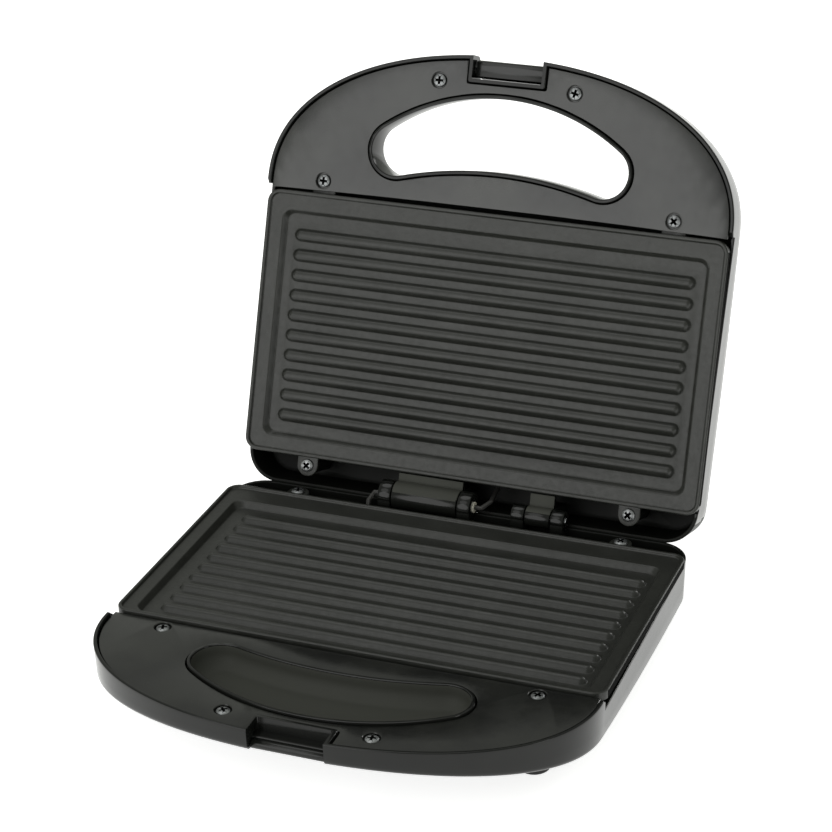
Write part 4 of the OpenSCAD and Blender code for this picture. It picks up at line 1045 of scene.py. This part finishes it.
def coverOutline():
    c = cover
    side, nose = [], []
    for station in shellStations():
        if station[0] == "nose":
            x, v = outlinePoint(*station, c["inset"])
            if x > c["notchHalf"] + 0.4:
                nose.append((x, v))
    halfRear = outlinePoint("side", c["rearEnds"], c["inset"])[0]
    rear = [(halfRear * i / 16, mix(c["rearMiddle"], c["rearEnds"], (i / 16) ** 2)) for i in range(17)]
    # where the outline meets the notch's side
    low, high = 0.8, 1.0
    for _ in range(30):
        middle = (low + high) / 2
        if outlinePoint("nose", middle, c["inset"])[0] > c["notchHalf"]:
            low = middle
        else:
            high = middle
    corner = (c["notchHalf"], outlinePoint("nose", low, c["inset"])[1])
    right = rear + nose + [corner, (c["notchHalf"], c["notchRear"] + 0.8), (c["notchHalf"] - 0.25, c["notchRear"] + 0.23),
                           (c["notchHalf"] - 0.8, c["notchRear"])]
    loop = right + [(-x, v) for x, v in reversed(right[1:])]
    return [(x, -v) for x, v in loop]


def handleCover(name):
    c = cover
    plate = flatPlate(name, [coverOutline(), openingLoop(0)], -c["thickness"], 0, c["soften"], 3)
    for spot in ("coverRear", "coverFront"):
        x, v = screwPlaces[spot]
        for side in (-1, 1):
            sink = turnedPiece("headHole", [(1.9, -5), (1.9, -c["headDrop"]), (c["headHole"], -c["headDrop"]),
                                            (c["headHole"], -0.3), (c["headHole"] + 0.12, -0.1),
                                            (c["headHole"] + 0.42, 0.08), (c["headHole"] + 0.42, 2)], 48)
            moveMesh(sink, Matrix.Translation((side * x, -v, 0)))
            combine(plate, sink, "DIFFERENCE")
    return plate


baseCover = handleCover("baseCover")
lidCover = copyPiece(baseCover, "lidCover")
finishPiece(baseCover, basePlace, coverPlastic, "base", ("base_handle_cover",), 30)
finishPiece(lidCover, lidPlace, coverPlastic, "lid", ("lid_handle_cover",), 30)
print("stage: handle covers made")


# Grill plates

plate = {"halfWidth": 108.5, "rear": 10.8, "front": 131.65, "corner": 6.0, "lipHeight": 1.2, "lipWidth": 1.7,
         "skirt": 3.0, "tub": 5.9, "underside": 5.2, "recess": 2.8, "stepSide": 7.7, "stepFront": 8.65, "stepRear": 7.5, "lowerShift": 5.0,
         "ribCount": 10, "ribPitch": 9.25, "ribHalf": 94.5, "ribRadius": 2.7, "ribSink": 0.5,
         "upperMiddle": 70.0, "lowerMiddle": 76.8, "lowerAside": 2.2,
         "tabHalf": 5.5, "tabReach": 142.5, "bossX": 30.0, "bossRadius": 4.5, "bossLow": 12.0}


def plateRing(sideIn, rearIn, frontIn, radius, height, steps=7):
    p = plate
    x = p["halfWidth"] - sideIn
    loop = boxLoop(-x, x, p["rear"] + rearIn, p["front"] - frontIn, radius, steps)
    return [(a, b, height) for a, b in loop]


def grillRib(name, v):
    p = plate
    half = p["ribHalf"] - p["ribRadius"]
    profile = [(3.35, -0.5), (3.35, 0.0), (3.08, 0.05), (2.86, 0.2), (2.72, 0.45)]
    for rise in (0.8, 1.15, 1.45, 1.7, 1.9, 2.05, 2.15, 2.19):
        profile.append((math.sqrt(max(p["ribRadius"] ** 2 - (rise + p["ribSink"]) ** 2, 0.02)), rise))
    rings = []
    for radius, rise in profile:
        ring = []
        for end, turn in ((1, -90), (-1, 90)):
            for i in range(15):
                a = math.radians(turn + 180 * i / 14)
                ring.append((end * half + radius * math.cos(a), -v + radius * math.sin(a), rise - p["recess"]))
        rings.append(ring)
    return ringLoft(name, rings)


def grillPlate(name, ribMiddle, shift=0.0, aside=0.0):
    p = plate
    tub, lip, high = p["tub"], p["lipWidth"], p["lipHeight"]
    rings = [plateRing(tub + 0.5, tub + 0.5, tub + 0.5, p["corner"] - 0.5, -p["underside"]),
             plateRing(tub, tub, tub, p["corner"], -p["underside"] + 0.5),
             plateRing(tub, tub, tub, p["corner"], -p["skirt"]),
             plateRing(0.35, 0.35, 0.35, p["corner"] - 0.35, -p["skirt"]),
             plateRing(0, 0, 0, p["corner"], -p["skirt"] + 0.35)]
    for inset, height in ((0, high - 0.5), (0.07, high - 0.25), (0.25, high - 0.07), (0.5, high),
                          (lip - 0.55, high), (lip - 0.27, high - 0.08), (lip - 0.08, high - 0.28), (lip, high - 0.55),
                          (lip, 0.5), (lip + 0.12, 0.2), (lip + 0.35, 0.04), (lip + 0.7, 0)):
        rings.append(plateRing(inset, inset, inset, max(p["corner"] - inset, 2.5), height))
    for run, height in ((-0.55, 0), (-0.2, -0.03), (0.1, -0.15), (0.4, -0.42), (1.45, -2.35), (1.7, -2.62),
                        (2.0, -2.75), (2.45, -2.8)):
        rings.append(plateRing(p["stepSide"] + run, p["stepRear"] + shift + run, p["stepFront"] - shift + run, 4.6 - 0.4 * run, height))
    piece = ringLoft(name, rings)
    ribs = [grillRib("rib", ribMiddle)]
    for i in range(p["ribCount"]):
        along = (i - (p["ribCount"] - 1) / 2) * p["ribPitch"]
        ribs.append(copyPiece(ribs[0], "rib", Matrix.Translation((aside, -along, 0))))
    bpy.data.objects.remove(ribs.pop(0), do_unlink=True)
    combine(piece, joinPieces(ribs, "ribs"), "UNION")
    x, v = screwPlaces["lug"]
    for side in (-1, 1):
        outline = [(side * x + 5 * math.cos(math.radians(a)), -v + 5 * math.sin(math.radians(a))) for a in range(0, 181, 12)]
        outline += [(side * x - 5, -p["rear"] - 1.2), (side * x + 5, -p["rear"] - 1.2)]
        lug = flatPlate("lug", [outline], -2.6, -0.6, 0.35, 3)
        combine(lug, uprightPost("lugHole", side * x, v, -6, 3, 1.9), "DIFFERENCE")
        combine(piece, lug, "UNION")
        rx, rv = screwPlaces["coverRear"]
        tab = halfBox("tab", side * rx - p["tabHalf"], side * rx + p["tabHalf"], p["front"] - p["tub"] - 2, p["tabReach"], -4.55, -2.55, 0.3)
        combine(tab, uprightPost("tabHole", side * rx, rv, -8, 3, 1.9), "DIFFERENCE")
        combine(piece, tab, "UNION")
        middle = (p["rear"] + p["front"]) / 2
        combine(piece, uprightPost("sheetBoss", side * p["bossX"], middle, -p["bossLow"], 0.4 - p["underside"], p["bossRadius"]), "UNION")
        combine(piece, uprightPost("sheetPilot", side * p["bossX"], middle, -p["bossLow"] - 2, -3.9, 1.65), "DIFFERENCE")
    return piece


upperPlate = grillPlate("upperPlate", plate["upperMiddle"])
lowerPlate = grillPlate("lowerPlate", plate["lowerMiddle"], plate["lowerShift"], plate["lowerAside"])
# painted shade on the plates' side faces, where the gap to the housing is in shadow
for coated in (upperPlate, lowerPlate):
    markFaces(coated, "edge", lambda place, normal: abs(place.x) > plate["halfWidth"] - 0.2
              and place.z < plate["lipHeight"] - 0.45)
finishPiece(upperPlate, lidPlace, coatedPlate, "lid", ("upper_plate",), 40)
finishPiece(lowerPlate, basePlace, coatedPlate, "base", ("lower_plate",), 40)
print("stage: grill plates made")


# Cross-head screws

screw = {"headRadius": 3.0, "headHeight": 1.5, "shank": 1.6, "crossHalf": 1.95, "crossWidth": 1.2, "crossDepth": 1.1}


def crossBlade(turn):
    s = screw
    top, low = s["headHeight"] + 0.3, s["headHeight"] - s["crossDepth"]
    rings = []
    for half, width, height in ((s["crossHalf"] * 0.42, s["crossWidth"] * 0.32, low),
                                (s["crossHalf"] * 0.86, s["crossWidth"] * 0.44, s["headHeight"] - 0.3),
                                (s["crossHalf"] + 0.12, s["crossWidth"] * 0.52, top)):
        rings.append([(-half, -width, height), (half, -width, height), (half, width, height), (-half, width, height)])
    return moveMesh(ringLoft("blade", rings), Matrix.Rotation(math.radians(turn), 4, "Z"))


def crossHeadScrew(name, length):
    s = screw
    r, t = s["headRadius"], s["headHeight"]
    profile = [(0.35, -length), (s["shank"] * 0.8, -length + 1.6), (s["shank"], -length + 2.4), (s["shank"], 0.02),
               (r - 0.12, 0), (r, 0.12), (r, 0.5), (r - 0.06, 0.74), (r - 0.24, 0.98), (r - 0.6, 1.2), (r - 1.15, 1.37),
               (r - 1.9, 1.47), (0.4, t)]
    piece = turnedPiece(name, profile, 48)
    cross = combine(crossBlade(0), crossBlade(90), "UNION")
    combine(piece, cross, "DIFFERENCE")
    useModifier(piece, "BEVEL", width=0.05, segments=2, limit_method="ANGLE", angle_limit=math.radians(48))
    # the cross recess is painted dark: painted shade in the recess, with some dust
    reach = s["crossHalf"] + 0.1
    return markFaces(piece, "cross", lambda place, normal: math.hypot(place.x, place.y) < reach
                     and 0.1 < place.z < t - 0.12 and min(abs(place.x), abs(place.y)) < 0.7)


screwTurns = {"baseCoverScrews": (20, 64, 41, 8), "lidCoverScrews": (2, 45, 0, 14),
              "lowerPlateScrews": (15, 58), "upperPlateScrews": (40, 44)}
pattern = crossHeadScrew("screwPattern", 5.2)
longPattern = crossHeadScrew("longScrewPattern", 12.0)


def screwSet(name, spots, seatHeight, source):
    turns = screwTurns[name]
    copies = []
    index = 0
    for x, v in spots:
        for side in (-1, 1):
            place = Matrix.Translation((side * x, -v, seatHeight)) @ Matrix.Rotation(math.radians(turns[index]), 4, "Z")
            copies.append(copyPiece(source, name, place))
            index += 1
    return joinPieces(copies, name)


coverSpots = (screwPlaces["coverRear"], screwPlaces["coverFront"])
lugSpots = (screwPlaces["lug"],)
baseCoverScrews = screwSet("baseCoverScrews", coverSpots, -1.42, pattern)
lidCoverScrews = screwSet("lidCoverScrews", coverSpots, -1.42, pattern)
lowerPlateScrews = screwSet("lowerPlateScrews", lugSpots, -0.52, longPattern)
upperPlateScrews = screwSet("upperPlateScrews", lugSpots, -0.52, longPattern)
for source in (pattern, longPattern):
    bpy.data.objects.remove(source, do_unlink=True)
finishPiece(baseCoverScrews, basePlace, screwZinc, "base", ("base_cover_screws",), 30)
finishPiece(lidCoverScrews, lidPlace, screwZinc, "lid", ("lid_cover_screws",), 30)
finishPiece(lowerPlateScrews, basePlace, screwZinc, "base", ("lower_plate_screws",), 30)
finishPiece(upperPlateScrews, lidPlace, screwZinc, "lid", ("upper_plate_screws",), 30)
print("stage: screws made")


# Latch, folded back over the lid's edge

def acrossProfile(name, outline, x0, x1, soften, segments=3):
    # an outline of (v, h) points drawn out from side to side
    piece = flatPlate(name, [outline], x0, x1, soften, segments)
    return moveMesh(piece, Matrix(((0, 0, 1, 0), (-1, 0, 0, 0), (0, 1, 0, 0), (0, 0, 0, 1))))


def flipLatch():
    k = latch
    r, out, reach = k["barrel"], k["armOut"], k["reach"]
    outline = []
    middle, deep = out / 2, k["grooveDepth"] - k["grooveRadius"] - r
    for i in range(9):
        v = out * i / 8
        outline.append((v, deep + math.sqrt(k["grooveRadius"] ** 2 - (v - middle) ** 2)))
    outline += [(out, reach - 3.6), (out + 0.3, reach - 2.9), (out + k["lip"] - 0.35, reach - 2.4),
                (out + k["lip"], reach - 2.0), (out + k["lip"], reach - 0.5), (out + k["lip"] - 0.5, reach),
                (k["armIn"] - k["nib"] + 0.6, reach), (k["armIn"] - k["nib"], reach - 0.6),
                (k["armIn"] - k["nib"], reach - k["hookThickness"]), (k["armIn"] - 0.5, reach - k["hookThickness"]),
                (k["armIn"], reach - k["hookThickness"] - 0.5), (k["armIn"], math.sqrt(r * r - 2.2 ** 2) + 1.1),
                (2.2, math.sqrt(r * r - 2.2 ** 2) + 0.35)]
    for i in range(1, 19):
        a = math.radians(mix(math.degrees(math.asin(math.sqrt(1 - (2.2 / r) ** 2))), 230, i / 18))
        outline.append((r * math.cos(a), r * math.sin(a)))
    outline.append((-0.9, -2.32))
    piece = acrossProfile("flipLatch", outline, -k["halfWidth"], k["halfWidth"], 0.28)
    combine(piece, acrossRod("latchBore", -20, 20, 0, 0, k["pinRadius"] + 0.05), "DIFFERENCE")
    return moveMesh(piece, Matrix.Translation((0, -k["pivotV"], -k["pivotDrop"])) @ Matrix.Rotation(math.radians(k["swing"]), 4, "X"))


latchPiece = flipLatch()
finishPiece(latchPiece, lidPlace, latchPlastic, "latch", ("latch",), 30)
print("stage: latch made")


# Rubber feet

feet = {"radius": 6.8, "height": 2.93, "plug": 5.35, "plugTop": 5.5}


def rubberFoot(name):
    f = feet
    r, t = f["radius"], f["height"]
    return turnedPiece(name, [(0.3, 0.55), (3.2, 0.55), (3.7, 0.35), (4.0, 0.04), (4.4, 0.0), (5.9, 0.0), (6.35, 0.12),
                              (r - 0.14, 0.4), (r, 0.85), (r, t - 0.35), (r - 0.1, t - 0.1), (r - 0.35, t),
                              (f["plug"], t), (f["plug"], f["plugTop"] - 0.4), (f["plug"] - 0.4, f["plugTop"]), (0.3, f["plugTop"])], 64)


footPieces = []
for side in (-1, 1):
    for x, v in base["footPlaces"]:
        footPieces.append(copyPiece(rubberFoot("foot"), "foot", Matrix.Translation((side * x, -v, -panelZ))))
for leftover in [o for o in bpy.data.objects if o.name.startswith("foot") and o not in footPieces and o.type == "MESH"]:
    bpy.data.objects.remove(leftover, do_unlink=True)
finishPiece(joinPieces(footPieces, "rubberFeet"), basePlace, footRubber, "base", ("rubber_feet",), 34)
print("stage: feet made")


# Floor, light and camera

def paleFloor():
    material = newMaterial("paleFloor")
    place = placedPattern(material)
    cloud = noiseField(material, place, 2.4, 3)
    tone = setRamp(addNode(material, "ShaderNodeValToRGB", None, {"Fac": (cloud, "Fac")}),
                   [(0.2, linearColour("#f6f6f6")), (0.8, linearColour("#fafafa"))])
    return surface(material, {"Roughness": 0.9, "Specular IOR Level": 0.1, "Emission Strength": 0.8},
                   {"Base Color": (tone, "Color"), "Emission Color": (tone, "Color")})


bpy.ops.mesh.primitive_plane_add(size=60, location=(0, 0, 0))
floor = bpy.context.object
floor.name = floor.data.name = "floor"
floor.data.materials.append(paleFloor())

studio = {"world": 0.5, "tint": "#fcfff6", "lamps": [
    # name, place, aimed at, size, radiance
    ("front", (-0.5, -1.42, 0.52), (0, 0.08, 0.13), 1.3, 2.05),
    ("above", (-0.55, -0.95, 1.38), (0, 0, 0.1), 0.95, 1.2),
    ("overhead", (-0.5, 0.2, 1.9), (0, 0, 0), 1.2, 1.7),
    ("side", (1.5, -0.62, 0.2), (0, 0, 0.12), 0.4, 5.0),
    ("rim", (0.8, 1.45, 0.62), (0, 0, 0.05), 0.42, 9.0),
]}
world = bpy.data.worlds.new("studio")
bpy.context.scene.world = world
world.use_nodes = True
world.node_tree.nodes["Background"].inputs["Color"].default_value = linearColour(studio["tint"])
world.node_tree.nodes["Background"].inputs["Strength"].default_value = studio["world"]
for name, place, aim, size, radiance in studio["lamps"]:
    light = bpy.data.lights.new(name, "AREA")
    light.shape, light.size, light.energy = "DISK", size, radiance * (math.pi * size / 2) ** 2
    lamp = bpy.data.objects.new(name, light)
    lamp.location = place
    lamp.rotation_euler = (Vector(aim) - Vector(place)).to_track_quat("-Z", "Y").to_euler()
    lamp.visible_camera = False
    bpy.context.scene.collection.objects.link(lamp)

photoView = {"place": (371.342, -938.351, 597.186), "forward": (-0.33037, 0.83613, -0.43788),
             "right": (0.93392, 0.35672, -0.02346), "lens": 115.11}
forward, right = Vector(photoView["forward"]).normalized(), Vector(photoView["right"]).normalized()
upward = right.cross(forward).normalized()
cameraData = bpy.data.cameras.new("camera")
cameraData.lens, cameraData.sensor_width = photoView["lens"], 36
cameraData.clip_start, cameraData.clip_end = 0.05, 100
camera = bpy.data.objects.new("camera", cameraData)
turn = Matrix((right, upward, -forward)).transposed().to_4x4()
camera.matrix_world = Matrix.Translation([c * mm for c in photoView["place"]]) @ turn
bpy.context.scene.collection.objects.link(camera)
bpy.context.scene.camera = camera
bpy.context.scene.view_settings.view_transform = "Standard"
bpy.context.scene.view_settings.look = "None"
print("stage: floor, light and camera set")

bpy.context.view_layer.update()
